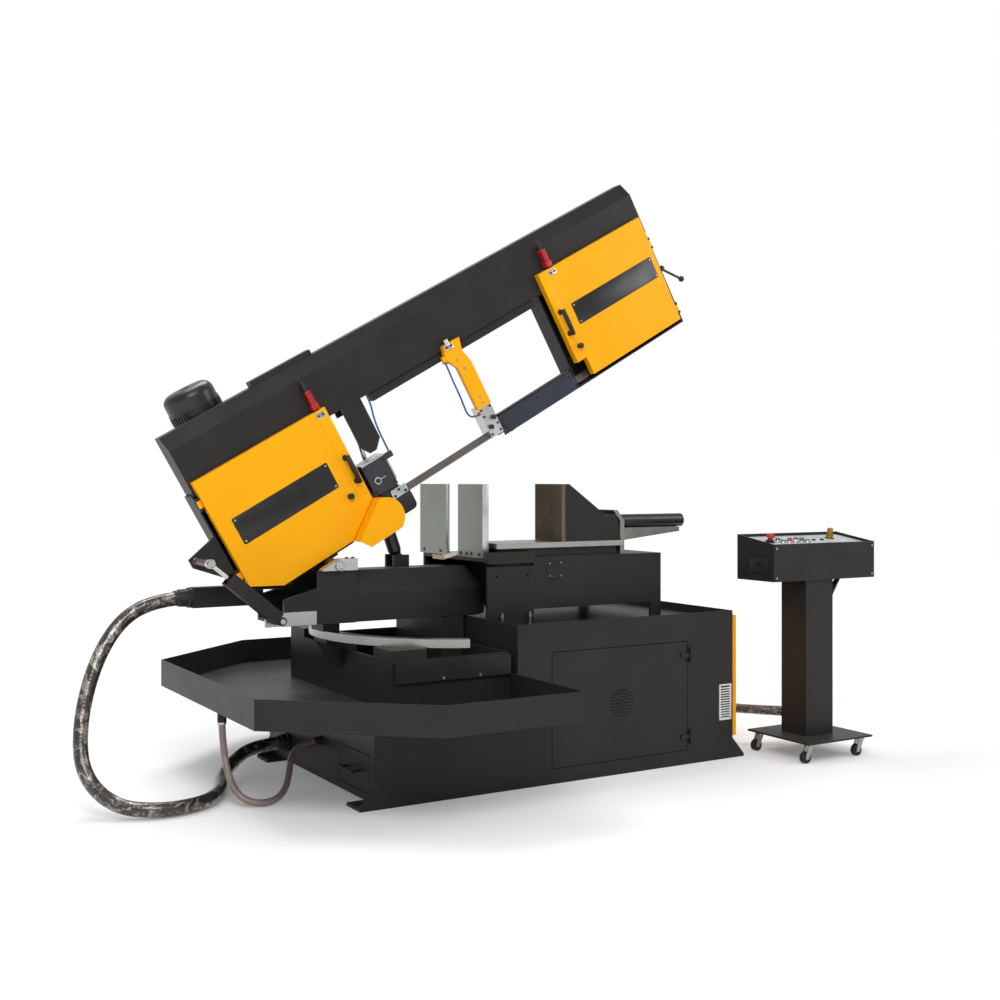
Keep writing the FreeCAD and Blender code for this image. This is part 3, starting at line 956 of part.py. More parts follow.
def blade_cover():
    """Channel over the blade between the moving guide and the idler housing."""
    outer = box(COVER_S0, COVER_S1, -COVER_HALF, COVER_HALF, COVER_LOW, COVER_HIGH)
    inner = box(COVER_S0, COVER_S1, -COVER_HALF + 3, COVER_HALF - 3, COVER_LOW, COVER_HIGH - 3)
    return at_tilt(outer.cut(inner))


def fixed_guide():
    s0, s1, t0, t1 = FIXED_GUIDE
    block = box(s0, s1, -46, 34, t0, t1)
    arm = box(300, s0, -10, 34, t0 + 20, t1 - 20)
    stem = plate_xz([(s1 - 60, t0), (s1, t0), (s1 + 44, 70), (s1 + 44, 40), (s1 - 20, 40), (s1 - 60, 70)], -20, 20)
    port_s, port_y, port_t = COOLANT_LEFT[-1]
    port = box(s1, port_s + PORT_HALF, port_y - PORT_HALF, port_y + PORT_HALF, port_t - 3 * PORT_HALF, port_t)
    return at_tilt(joined(block, arm, stem, port).cut(blade_slot(s1 - 60, s1 + 44)))


def hood_face(gap, bulge, low, y):
    """Outline of the brush hood at one y: a back at a gap from the left door's corner edge, and a round side."""
    (edge_s, edge_t), (heel_s, heel_t) = LEFT_DOOR[2], LEFT_DOOR[3]
    way = Vector(heel_s - edge_s, 0, heel_t - edge_t).normalize()
    off = Vector(-way.z, 0, way.x) * gap
    lid, back = Vector(edge_s, y, edge_t) + off, Vector(heel_s, y, heel_t) + off
    heel, toe = Vector(bulge, y, lid.z - HOOD_DROP), Vector(bulge, y, low)
    side, foot_end = Vector(bulge + HOOD_ROUND, y, BRUSH_T + HOOD_DROP), Vector(HOOD_FOOT, y, low)
    runs = [Part.LineSegment(lid, heel), Part.Arc(heel, side, toe), Part.LineSegment(toe, foot_end)]
    runs += [Part.LineSegment(foot_end, back), Part.LineSegment(back, lid)]
    return Part.Face(Part.Wire([run.toShape() for run in runs]))


def brush_hood():
    """Rounded hood over the chip brush, below the corner of the left door, with the brush's spindle."""
    deep = BOW_FRONT - HOOD_FRONT
    block = hood_face(SEAM, HOOD_BULGE, HOOD_LOW, HOOD_FRONT).extrude(Vector(0, deep, 0))
    room = hood_face(SEAM + THIN_SHEET, HOOD_BULGE - THIN_SHEET, HOOD_LOW - deep, HOOD_FRONT + THIN_SHEET)
    spindle = across(BRUSH_S, BRUSH_T, BRUSH_SPINDLE_R, HOOD_FRONT, BRUSH_Y + BRUSH_WIDE / 2 + 4)
    return at_tilt(joined(block.cut(room.extrude(Vector(0, deep, 0))), spindle))


def chip_brush():
    y0, y1 = BRUSH_Y - BRUSH_WIDE / 2, BRUSH_Y + BRUSH_WIDE / 2
    tuft = across(BRUSH_S, BRUSH_T, BRUSH_R, y0, y1)
    return at_tilt(tuft.cut(across(BRUSH_S, BRUSH_T, BRUSH_SPINDLE_R + SHAFT_GAP, y0, y1)))


def interlocks():
    """Door switches in their housings on the beam's face, above the doors."""
    pieces = []
    for s, t in ((252, 562), (1532, 596)):
        body = box(s - 17, s + 17, BOW_FRONT - 34, BOW_FRONT, t, t + 92)
        gland = bar((s, BOW_FRONT - 17, t + 92), (0, 0, 1), 9, 30)
        pieces.append(joined(body, gland))
    return at_tilt(Part.makeCompound(pieces))


def tension_lever():
    """Crank on the tension screw, with its ball knob."""
    start = Vector(IDLER_RIGHT + LEVER_SCREW_LONG + GAP, LEVER_Y, LEVER_T)
    middle, tip = start + Vector(LEVER_HUB_MIDDLE, 0, 0), start + Vector(*LEVER_TIP)
    hub = Part.makeCylinder(LEVER_HUB_R, LEVER_HUB_LONG, start, Vector(1, 0, 0))
    way = tip - middle
    lever = Part.makeCylinder(LEVER_R, way.Length, middle, way)
    knob = Part.makeSphere(LEVER_KNOB_R, tip)
    return at_tilt(joined(hub, lever, knob))


# ---- telescopic links ----------------------------------------------------------------------------------
def link_lean(foot_point, head_point):
    """Lean of a link from upright, in degrees."""
    return math.degrees(math.atan2(head_point[0] - foot_point[0], head_point[1] - foot_point[1]))


def leaned(shape, point, lean):
    """Turns an upright shape at the origin to its lean and moves it to a point."""
    shape.rotate(Vector(0, 0, 0), Vector(0, 1, 0), lean)
    shape.translate(Vector(point[0], 0, point[1]))
    return shape


def link_hole():
    """Bore of a link's eye, through the whole eye."""
    return across(0, 0, LINK_PIN_R + SHAFT_GAP, -CABINET_HALF, CABINET_HALF)


def lift_barrel():
    lean = link_lean(LIFT_FOOT, tilted(*LIFT_HEAD))
    body = bar((0, LIFT_Y, LIFT_NECK), (0, 0, 1), LIFT_BARREL_R, LIFT_BARREL_LONG - LIFT_NECK)
    skirt = Part.makeCone(LIFT_NECK_R, LIFT_BARREL_R, LIFT_SKIRT, Vector(0, LIFT_Y, 0))
    eye = across(0, 0, LIFT_EYE_R, LIFT_Y - LIFT_BARREL_R, LIFT_Y + LIFT_BARREL_R)
    bore = bar((0, LIFT_Y, LIFT_BORE_FROM), (0, 0, 1), LIFT_BORE_R, LIFT_BARREL_LONG)
    return leaned(joined(body, skirt, eye).cut(bore).cut(link_hole()), LIFT_FOOT, lean)


def lift_rod():
    head = tilted(*LIFT_HEAD)
    rod = bar((0, LIFT_Y, LIFT_ROD_FROM), (0, 0, 1), LIFT_ROD_R, LIFT_ROD_TO - LIFT_ROD_FROM)
    eye = across(0, 0, ROD_EYE_R, LIFT_Y - ROD_EYE_HALF, LIFT_Y + ROD_EYE_HALF)
    return leaned(joined(rod, eye).cut(link_hole()), head, link_lean(LIFT_FOOT, head))


def strut_barrel():
    """Square spring box of the balance strut."""
    lean = link_lean(STRUT_FOOT, tilted(*STRUT_EYE))
    half, bore = STRUT_HALF, STRUT_BORE
    body = box(-half, half, STRUT_Y - half, STRUT_Y + half, STRUT_FROM, STRUT_LONG)
    room = box(-bore, bore, STRUT_Y - bore, STRUT_Y + bore, STRUT_BORE_FROM, STRUT_LONG)
    eye = across(0, 0, STRUT_EYE_R, STRUT_Y - half, STRUT_Y + half)
    return leaned(joined(body.cut(room), eye).cut(link_hole()), STRUT_FOOT, lean)


def strut_rod():
    head = tilted(*STRUT_EYE)
    rod = bar((0, STRUT_Y, STRUT_ROD_FROM), (0, 0, 1), STRUT_ROD_R, STRUT_ROD_TO - STRUT_ROD_FROM)
    eye = across(0, 0, STRUT_EYE_R, STRUT_Y - STRUT_EYE_HALF, STRUT_Y + STRUT_EYE_HALF)
    return leaned(joined(rod, eye).cut(link_hole()), head, link_lean(STRUT_FOOT, head))


# ---- control console -----------------------------------------------------------------------------------
def console_stand():
    half = CONSOLE_PLATE / 2
    plate = box(
        CONSOLE_X - half, CONSOLE_X + half, CONSOLE_Y - half, CONSOLE_Y + half,
        CONSOLE_PLATE_Z, CONSOLE_PLATE_Z + CONSOLE_PLATE_THICK,
    )
    x0, x1, y0, y1 = COLUMN
    foot_z, wall = CONSOLE_PLATE_Z + CONSOLE_PLATE_THICK, COLUMN_WALL
    column = box(x0, x1, y0, y1, foot_z, DESK_LOW)
    hollow = box(x0 + wall, x1 - wall, y0 + wall, y1 - wall, foot_z, DESK_LOW)
    brace = plate_xz(
        [
            (x1, DESK_LOW - BRACE_TALL), (x1 + BRACE_OUT, DESK_LOW), (x1 + BRACE_OUT - BRACE_WIDE, DESK_LOW),
            (x1, DESK_LOW - BRACE_TALL + BRACE_RISE),
        ],
        BRACE_Y, BRACE_Y + BRACE_DEEP,
    )
    stand = joined(plate, column.cut(hollow), brace)
    holes = [
        bar((x, y, CONSOLE_PLATE_Z), (0, 0, 1), CASTER_STEM_R + SHAFT_GAP, CONSOLE_PLATE_THICK)
        for x, y in caster_places()
    ]
    return stand.cut(Part.makeCompound(holes))


def console_desk():
    """Shallow desk with a sloped, recessed panel."""
    side = [
        (DESK_FRONT, DESK_LOW), (DESK_BACK, DESK_LOW), (DESK_BACK, DESK_BACK_TOP), (DESK_FRONT, DESK_FRONT_TOP),
    ]
    body = plate_yz(side, DESK_LEFT, DESK_RIGHT)
    front, back = DESK_FRONT + DESK_EDGE, DESK_BACK - DESK_EDGE
    recess = plate_yz(
        [
            (front, DESK_FRONT_TOP - DESK_RIM), (back, DESK_BACK_TOP - DESK_RIM),
            (back, DESK_BACK_TOP + DESK_RIM), (front, DESK_FRONT_TOP + DESK_RIM),
        ],
        DESK_LEFT + DESK_EDGE, DESK_RIGHT - DESK_EDGE,
    )
    return joined(body.cut(recess), *panel_fittings())


def panel_height(y):
    """Height of the console panel at a place across it."""
    share = (y - DESK_FRONT) / (DESK_BACK - DESK_FRONT)
    return DESK_FRONT_TOP - DESK_RIM + share * (DESK_BACK_TOP - DESK_FRONT_TOP)


PANEL_SLOPE = math.degrees(math.atan2(DESK_BACK_TOP - DESK_FRONT_TOP, DESK_BACK - DESK_FRONT))


def on_panel(shape, x, y):
    """Stands an upright shape on the sloped panel."""
    shape.rotate(Vector(0, 0, 0), Vector(1, 0, 0), PANEL_SLOPE)
    shape.translate(Vector(x, y, panel_height(y)))
    return shape


def stop_button():
    stem = bar((0, 0, STOP_STEM_FROM), (0, 0, 1), STOP_STEM_R, STOP_STEM_LONG)
    head = Part.makeCone(STOP_HEAD_R, STOP_TOP_R, STOP_HEAD_TALL, Vector(0, 0, STOP_HEAD_FROM))
    return on_panel(joined(stem, head), *STOP_PLACE)


def selector_knob():
    skirt = bar((0, 0, SEAT_TALL + GAP), (0, 0, 1), KNOB_SKIRT_R, KNOB_SKIRT_TALL)
    body = bar((0, 0, KNOB_BODY_FROM), (0, 0, 1), KNOB_R, KNOB_TALL)
    return on_panel(joined(skirt, body), *KNOB_PLACE)


def panel_fittings():
    """Collar of the stop button, seat of the selector knob and the row of small push buttons."""
    collar = bar((0, 0, 0), (0, 0, 1), COLLAR_R, COLLAR_TALL)
    collar = collar.cut(bar((0, 0, 0), (0, 0, 1), STOP_STEM_R + SHAFT_GAP, COLLAR_TALL))
    seat = bar((0, 0, 0), (0, 0, 1), SEAT_R, SEAT_TALL)
    pieces = [on_panel(collar, *STOP_PLACE), on_panel(seat, *KNOB_PLACE)]
    for k in range(BUTTON_COUNT):
        for row in (0, 1):
            x, y = STOP_PLACE[0] + BUTTONS_RIGHT, STOP_PLACE[1] - BUTTONS_FORWARD
            button = bar((0, 0, 0), (0, 0, 1), BUTTON_R, BUTTON_TALL)
            pieces.append(on_panel(button, x + k * BUTTON_PITCH, y + row * BUTTON_PITCH))
    return pieces


def caster_places():
    reach = CONSOLE_PLATE / 2 - CASTER_INSET
    return [
        (CONSOLE_X + i * reach, CONSOLE_Y + j * reach) for j in (-1, 1) for i in (-1, 1)
    ]


def caster_fork(x, y):
    """Swivel fork with its stem and axle."""
    top, half, wheel_x = CONSOLE_PLATE_Z - CASTER_CROWN, CASTER_WIDE / 2, x - CASTER_TRAIL
    stem = bar((x, y, top), (0, 0, 1), CASTER_STEM_R, CASTER_CROWN + CONSOLE_PLATE_THICK)
    crown = bar((x, y, top), (0, 0, 1), CASTER_CROWN_R, CASTER_CROWN - GAP)
    cheek = [
        (x - FORK_HALF, top + FORK_IN), (x + FORK_HALF, top + FORK_IN), (wheel_x + FORK_TIP, CASTER_R - FORK_LOW),
        (wheel_x - FORK_TIP, CASTER_R - FORK_LOW), (wheel_x - FORK_TIP, CASTER_R + FORK_IN),
    ]
    out = half + FORK_SIDE + FORK_THICK
    pieces = [stem, crown, plate_xz(cheek, y - out, y - out + FORK_THICK)]
    pieces.append(plate_xz(cheek, y + half + FORK_SIDE, y + out))
    pieces.append(box(x - FORK_HALF, x + FORK_HALF, y - out, y + out, top, top + FORK_BRIDGE))
    pieces.append(across(wheel_x, CASTER_R, CASTER_AXLE_R, y - out, y + out))
    return joined(*pieces)


def caster_wheel(x, y):
    half, wheel_x = CASTER_WIDE / 2, x - CASTER_TRAIL
    tread = across(wheel_x, CASTER_R, CASTER_R, y - half, y + half)
    return tread.cut(across(wheel_x, CASTER_R, CASTER_AXLE_R + SHAFT_GAP, y - half, y + half))


# ---- hoses and conduits --------------------------------------------------------------------------------
MAIN_CONDUIT = [
    (-1335, 105, 746), (-1450, 105, 746), (-1595, 100, 690), (-1705, 65, 540), (-1775, 10, 330),
    (-1785, -60, 150), (-1700, -165, 45), (-1560, -250, 29), (-1385, -215, 28), (-1280, -80, 29),
    (-1225, 85, 36), (-1140, 215, 62), (-1010, 318, 100), (-856, 318, 100),
]
DRAIN_HOSE = [
    (-1285, -110, 296), (-1285, -120, 215), (-1283, -170, 110), (-1266, -232, 44), (-1220, -266, 17),
    (-1150, -275, 14), (-1085, -230, 32), (-1036, -154, 78), (-1000, -80, 130), (-935, -38, 168), (-856, -38, 168),
]
CONSOLE_CONDUIT = [
    (891, -250, 165), (965, -250, 165), (1040, -262, 158), (1110, -300, 152), (1165, -358, 150), (1196, -430, 155),
    (1205, -490, 160), (1205, -540, 160),
]
COOLANT_LEFT = [
    (490, -14, 507), (490, -14, 465), (476, -18, 425), (465, -25, 382), (460, -31, 340), (458, -33, 300),
    (458, -33, 262),
]
COOLANT_RIGHT = [
    (866, -41, 462), (865, -41, 425), (862, -41, 385), (861, -41, 345), (862, -38, 305), (862, -32, 268),
    (863, -25, 235), (868, -20, 208), (886, -20, 190), (917, -20, 190),
]


NODES = {
    "cabinet_low": cabinet_low,
    "cabinet_tall": cabinet_tall,
    "chip_tray": chip_tray,
    "pedestal": pedestal,
    "mitre_rail": mitre_rail,
    "vise_bed": vise_bed,
    "vise_slab": vise_slab,
    "fixed_jaw_front": lambda: fixed_jaw(*FRONT_JAW_Y, 1),
    "fixed_jaw_rear": lambda: fixed_jaw(*REAR_JAW_Y, -1),
    "vise_end_plate": vise_end_plate,
    "vise_cylinder": vise_cylinder,
    "pump_unit": pump_unit,
    "service_door": service_door,
    "chip_drawer": chip_drawer,
    "electric_cover": electric_cover,
    "mitre_arm": mitre_arm,
    "pivot_mount": pivot_mount,
    "strut_bracket": strut_bracket,
    "junction_box": junction_box,
    "bow_beam": bow_beam,
    "left_housing": left_housing,
    "right_housing": right_housing,
    "saw_blade": saw_blade,
    "drive_unit": drive_unit,
    "guide_rail": guide_rail,
    "fixed_guide": fixed_guide,
    "brush_hood": brush_hood,
    "interlocks": interlocks,
    "left_door": left_door,
    "right_door": right_door,
    "drive_wheel": lambda: wheel(DRIVE_S, True),
    "idler_wheel": lambda: wheel(IDLER_S, False),
    "chip_brush": chip_brush,
    "guide_arm": guide_arm,
    "guide_head": guide_head,
    "blade_cover": blade_cover,
    "tension_lever": tension_lever,
    "moving_jaw": moving_jaw,
    "moving_jaw_face": moving_jaw_face,
    "lift_barrel": lift_barrel,
    "lift_rod": lift_rod,
    "strut_barrel": strut_barrel,
    "strut_rod": strut_rod,
    "console_stand": console_stand,
    "console_desk": console_desk,
    "stop_button": stop_button,
    "selector_knob": selector_knob,
    "main_conduit": lambda: tube("main conduit", MAIN_CONDUIT, CONDUIT_R),
    "drain_hose": lambda: tube("drain hose", DRAIN_HOSE, HOSE_R),
    "console_conduit": lambda: tube("console conduit", CONSOLE_CONDUIT, CONSOLE_CONDUIT_R),
    "coolant_left": lambda: at_tilt(tube("coolant tube left", COOLANT_LEFT, COOLANT_R)),
    "coolant_right": lambda: at_tilt(tube("coolant tube right", COOLANT_RIGHT, COOLANT_R)),
}


def main():
    os.makedirs("parts", exist_ok=True)
    for name, make in NODES.items():
        shape = make()
        shape.exportStep(f"parts/{name}.step")
    for number, (x, y) in enumerate(caster_places(), 1):
        caster_fork(x, y).exportStep(f"parts/caster_fork_{number}.step")
        caster_wheel(x, y).exportStep(f"parts/caster_wheel_{number}.step")


main()
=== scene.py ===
import bmesh
import bpy
import math
import numpy as np
from mathutils import Matrix, Vector


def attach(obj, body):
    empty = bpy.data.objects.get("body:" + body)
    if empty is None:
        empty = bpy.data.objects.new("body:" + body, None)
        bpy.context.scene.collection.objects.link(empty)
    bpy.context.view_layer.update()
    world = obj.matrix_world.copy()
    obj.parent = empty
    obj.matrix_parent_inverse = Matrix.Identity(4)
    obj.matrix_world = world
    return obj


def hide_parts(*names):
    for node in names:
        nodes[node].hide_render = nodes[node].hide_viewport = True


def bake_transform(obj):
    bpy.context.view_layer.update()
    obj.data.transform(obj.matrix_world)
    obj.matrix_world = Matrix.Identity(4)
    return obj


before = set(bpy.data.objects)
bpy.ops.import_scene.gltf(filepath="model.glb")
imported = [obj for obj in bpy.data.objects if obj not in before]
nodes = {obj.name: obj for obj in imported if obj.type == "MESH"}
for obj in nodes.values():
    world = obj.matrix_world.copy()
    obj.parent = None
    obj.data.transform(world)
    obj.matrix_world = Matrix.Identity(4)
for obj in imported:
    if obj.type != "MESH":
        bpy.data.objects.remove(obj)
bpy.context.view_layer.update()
scene = bpy.context.scene
scene.view_settings.view_transform = "Standard"

# ---- Studio ------------------------------------------------------------------------------------------------
# A plain pale floor under a white surround, a wide softbox over the machine's front, a weaker one at the
# right and one above, and the camera at standing height, looking level and turned towards the rear right.
CAMERA_AT = (-2.822, -4.687, 1.200)
CAMERA_TURN = (90.0, 0.0, -31.0)        # degrees
CAMERA_LENS, CAMERA_RISE = 45.4, -0.02  # millimetres, share of the frame
FLOOR_HALF = 40.0                       # metres
SURROUND = 0.62                         # light that the white surround gives
FLOOR_LIFT = 0.16                       # whitens the floor for the camera and for reflections alone
FADE_NEAR, FADE_FAR, FADE = 2.4, 5.5, 0.5  # metres out, where the floor whitens


def colour(code):
    """An sRGB hex colour as the linear one that a shader takes."""
    parts = [int(code[k:k + 2], 16) / 255 for k in (1, 3, 5)]
    return (*[c / 12.92 if c <= 0.04045 else ((c + 0.055) / 1.055) ** 2.4 for c in parts], 1.0)


def add(tree, kind, settings=None, **links):
    """A node with its settings, and its inputs set to values or linked to other nodes' outputs."""
    node = tree.nodes.new(kind)
    for key, value in (settings or {}).items():
        setattr(node, key, value)
    for key, value in links.items():
        key = int(key[1:]) if key[0] == "_" and key[1:].isdigit() else key.replace("_", " ")
        if isinstance(value, bpy.types.NodeSocket):
            tree.links.new(value, node.inputs[key])
        else:
            node.inputs[key].default_value = value
    return node


def new_material(name):
    material = bpy.data.materials.new(name)
    material.use_nodes = True
    material.node_tree.nodes.clear()
    return material, material.node_tree


def close_material(tree, shader):
    add(tree, "ShaderNodeOutputMaterial", Surface=shader.outputs[0])


camera = bpy.data.objects.new("camera", bpy.data.cameras.new("camera"))
scene.collection.objects.link(camera)
camera.location = CAMERA_AT
camera.rotation_euler = [math.radians(a) for a in CAMERA_TURN]
camera.data.lens = CAMERA_LENS
camera.data.shift_y = CAMERA_RISE
scene.camera = camera


def softbox(name, place, target, width, height, power):
    lamp = bpy.data.lights.new(name, "AREA")
    lamp.shape, lamp.size, lamp.size_y, lamp.energy = "RECTANGLE", width, height, power
    holder = bpy.data.objects.new(name, lamp)
    scene.collection.objects.link(holder)
    holder.location = place
    holder.rotation_euler = (Vector(target) - Vector(place)).to_track_quat("-Z", "Y").to_euler()


SOFTBOXES = [
    ("front_softbox", (-2.5, -4.5, 4.2), (-0.2, 0, 0.8), 3.0, 2.0, 150),
    ("side_softbox", (4.0, -2.5, 3.5), (0, 0, 0.8), 2.0, 2.0, 48),
    ("top_softbox", (-1.0, 1.5, 4.6), (-0.3, 0, 1.0), 3.5, 1.6, 110),
]                                       # name, place, target, width, height and watts
for box in SOFTBOXES:
    softbox(*box)

world = bpy.data.worlds.new("surround")
scene.world = world
world.use_nodes = True
world.node_tree.nodes.clear()
seen = add(world.node_tree, "ShaderNodeLightPath")
direct = add(world.node_tree, "ShaderNodeMath", {"operation": "MAXIMUM"}, _0=seen.outputs["Is Camera Ray"],
             _1=seen.outputs["Is Transmission Ray"])
level = add(world.node_tree, "ShaderNodeMapRange", None, Value=direct.outputs[0], To_Min=SURROUND, To_Max=1.0)
back = add(world.node_tree, "ShaderNodeBackground", None, Color=colour("#ffffff"), Strength=level.outputs[0])
add(world.node_tree, "ShaderNodeOutputWorld", None, Surface=back.outputs[0])

floor_mesh = bpy.data.meshes.new("floor")
floor_mesh.from_pydata(
    [(-FLOOR_HALF, -FLOOR_HALF, 0), (FLOOR_HALF, -FLOOR_HALF, 0), (FLOOR_HALF, FLOOR_HALF, 0),
     (-FLOOR_HALF, FLOOR_HALF, 0)], [], [(0, 1, 2, 3)])
floor = bpy.data.objects.new("floor", floor_mesh)
scene.collection.objects.link(floor)
floor_paint, tree = new_material("floor_paint")
rays = add(tree, "ShaderNodeLightPath")
glossy = add(tree, "ShaderNodeMath", {"operation": "MAXIMUM"}, _0=rays.outputs["Is Camera Ray"],
             _1=rays.outputs["Is Glossy Ray"])
here = add(tree, "ShaderNodeNewGeometry")
away = add(tree, "ShaderNodeVectorMath", {"operation": "LENGTH"}, _0=here.outputs["Position"])
whiter = add(tree, "ShaderNodeMapRange", None, Value=away.outputs["Value"], From_Min=FADE_NEAR,
             From_Max=FADE_FAR, To_Min=FLOOR_LIFT, To_Max=FADE)
lift = add(tree, "ShaderNodeMath", {"operation": "MULTIPLY"}, _0=glossy.outputs[0], _1=whiter.outputs[0])
glow = add(tree, "ShaderNodeEmission", None, Color=colour("#ffffff"), Strength=lift.outputs[0])
matt = add(tree, "ShaderNodeBsdfDiffuse", None, Color=colour("#e9e9ea"))
close_material(tree, add(tree, "ShaderNodeAddShader", None, _0=matt.outputs[0], _1=glow.outputs[0]))
floor_mesh.materials.append(floor_paint)

# ---- Main conduit ------------------------------------------------------------------------------------------
# Flexible steel conduit, wrapped in clear film, that carries the bow's cables from the channel on the
# swivelling arm, round over the floor and into the end of the cabinet.
MAIN_ROUTE = [
    (-1.335, 0.105, 0.746), (-1.450, 0.105, 0.746), (-1.595, 0.100, 0.690), (-1.705, 0.065, 0.540),
    (-1.775, 0.010, 0.330), (-1.785, -0.060, 0.150), (-1.700, -0.165, 0.045), (-1.560, -0.250, 0.029),
    (-1.385, -0.215, 0.028), (-1.280, -0.080, 0.029), (-1.225, 0.085, 0.036), (-1.140, 0.215, 0.062),
    (-1.010, 0.318, 0.100), (-0.856, 0.318, 0.100),
]
MAIN_RADIUS, MAIN_LENGTH = 0.027, 2.13
WRAP_PITCH, WRAP_DEEP = 0.014, 0.0003   # turns of the conduit below its clear film
CABLE_STEP = 0.0035                     # spacing of the rings of the conduit's mesh
# The crinkles also place the pale streaks of painted highlight on the film.
CRINKLES, AROUND = 20.0, 5.0            # crinkles in the film per metre of conduit, and round it


def centreline(route):
    """Points of the smooth line that a hose takes along its route."""
    curve = bpy.data.curves.new("line", "CURVE")
    curve.dimensions = "3D"
    curve.resolution_u = 24
    spline = curve.splines.new("NURBS")
    spline.points.add(len(route) - 1)
    for point, place in zip(spline.points, route):
        point.co = (*place, 1.0)
    spline.order_u = 3
    spline.use_endpoint_u = True
    holder = bpy.data.objects.new("line", curve)
    scene.collection.objects.link(holder)
    bpy.context.view_layer.update()
    mesh = bpy.data.meshes.new_from_object(holder)
    points = [tuple(v.co) for v in mesh.vertices]
    bpy.data.objects.remove(holder)
    bpy.data.curves.remove(curve)
    bpy.data.meshes.remove(mesh)
    return points


def hose(name, line, step, sides, radius_at, material):
    """Round hose along a line. radius_at gives its radius at a distance along it and an angle round it."""
    line = np.array(line)
    reach = np.concatenate(([0], np.cumsum(np.linalg.norm(np.diff(line, axis=0), axis=1))))
    count = int(reach[-1] / step)
    at = np.linspace(0, reach[-1], count + 1)
    middle = np.stack([np.interp(at, reach, line[:, k]) for k in range(3)], axis=1)
    ahead = np.gradient(middle, axis=0)
    ahead /= np.linalg.norm(ahead, axis=1)[:, None]
    side = np.cross(ahead[0], (0.0, 0.0, 1.0) if abs(ahead[0][2]) < 0.9 else (1.0, 0.0, 0.0))
    vertices, distances = [], []
    for place, way, distance in zip(middle, ahead, at):
        side = side - way * (side @ way)
        side /= np.linalg.norm(side)
        up = np.cross(way, side)
        for k in range(sides):
            turn = 2 * math.pi * k / sides
            vertices.append(place + (side * math.cos(turn) + up * math.sin(turn)) * radius_at(distance, turn))
            distances.append((distance, k / sides))
    faces = []
    for ring in range(count):
        for k in range(sides):
            a, b = ring * sides + k, ring * sides + (k + 1) % sides
            faces.append((a, b, b + sides, a + sides))
    faces.append(tuple(range(sides))[::-1])
    faces.append(tuple(range(count * sides, (count + 1) * sides)))
    mesh = bpy.data.meshes.new(name)
    mesh.from_pydata(vertices, [], faces)
    along = mesh.uv_layers.new(name="along")
    for loop in mesh.loops:
        along.data[loop.index].uv = distances[loop.vertex_index]
    mesh.shade_smooth()
    mesh.materials.append(material)
    piece = bpy.data.objects.new(name, mesh)
    scene.collection.objects.link(piece)
    return piece


def wrapped_steel(name, light, dark, crinkles, around, gloss):
    """Flexible steel conduit in stretched clear film: dark steel, painted pale highlight streaks on its
    crinkles, a wet gloss.
    """
    material, tree = new_material(name)
    along = add(tree, "ShaderNodeUVMap", {"uv_map": "along"})
    stretch = add(tree, "ShaderNodeMapping", None, Vector=along.outputs[0], Scale=(crinkles, around, 1.0))
    smear = add(tree, "ShaderNodeTexNoise", None, Vector=stretch.outputs[0], Scale=1.0, Detail=6.0,
                Roughness=0.7, Distortion=1.2)
    # Mask of the pale streaks: painted highlight where the film's crinkles would catch the light.
    painted_highlight_streaks = add(tree, "ShaderNodeMapRange", None, Value=smear.outputs[0], From_Min=0.5, From_Max=0.68)
    tone = add(tree, "ShaderNodeMix", {"data_type": "RGBA"}, Factor=painted_highlight_streaks.outputs[0])
    tone.inputs[6].default_value, tone.inputs[7].default_value = colour(dark), colour(light)
    rough = add(tree, "ShaderNodeMapRange", None, Value=smear.outputs[0], To_Min=0.22, To_Max=0.42)
    lump = add(tree, "ShaderNodeBump", None, Height=smear.outputs[0], Strength=0.5, Distance=0.002)
    shader = add(tree, "ShaderNodeBsdfPrincipled", None, Base_Color=tone.outputs[2], Metallic=0.45,
                 Roughness=rough.outputs[0], Normal=lump.outputs[0], Coat_Weight=gloss)
    close_material(tree, shader)
    return material


# The pale #c4bdb4 is painted highlight on the film's crinkles; #3b332e is the conduit's own dark colour.
conduit_film = wrapped_steel("film_wrapped_conduit", "#c4bdb4", "#3b332e", CRINKLES, AROUND, 0.6)
main_line = centreline(MAIN_ROUTE)
main_conduit = hose(
    "main_conduit_wrap", main_line, CABLE_STEP, 28,
    lambda d, a: MAIN_RADIUS - WRAP_DEEP * (0.5 + 0.5 * math.sin(2 * math.pi * d / WRAP_PITCH + a)),
    conduit_film)
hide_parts("main_conduit")
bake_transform(main_conduit)

# ---- Drain hose --------------------------------------------------------------------------------------------
# Clear PVC hose, grey with use, that takes the coolant from the spigot under the chip tray back into the
# cabinet.
DRAIN_ROUTE = [
    (-1.285, -0.110, 0.296), (-1.285, -0.120, 0.215), (-1.283, -0.170, 0.110), (-1.266, -0.232, 0.044),
    (-1.220, -0.266, 0.017), (-1.150, -0.275, 0.014), (-1.085, -0.230, 0.032), (-1.036, -0.154, 0.078),
    (-1.000, -0.080, 0.130), (-0.935, -0.038, 0.168), (-0.856, -0.038, 0.168),
]
DRAIN_RADIUS, DRAIN_LENGTH, DRAIN_STEP = 0.013, 0.84, 0.006


def soft_plastic(name, code, roughness, clear, haze_mm):
    """Extruded soft plastic: a smooth skin with slow changes of tone, partly see-through where it is clear."""
    material, tree = new_material(name)
    place = add(tree, "ShaderNodeTexCoord")
    haze = add(tree, "ShaderNodeTexNoise", None, Vector=place.outputs["Object"], Scale=1000.0 / haze_mm,
               Detail=3.0)
    light = add(tree, "ShaderNodeHueSaturation", None, Color=colour(code))
    value = add(tree, "ShaderNodeMapRange", None, Value=haze.outputs[0], To_Min=0.72, To_Max=1.25)
    tree.links.new(value.outputs[0], light.inputs["Value"])
    shader = add(tree, "ShaderNodeBsdfPrincipled", None, Base_Color=light.outputs[0], Roughness=roughness,
                 IOR=1.5)
    shader.inputs["Transmission Weight"].default_value = clear
    close_material(tree, shader)
    return material


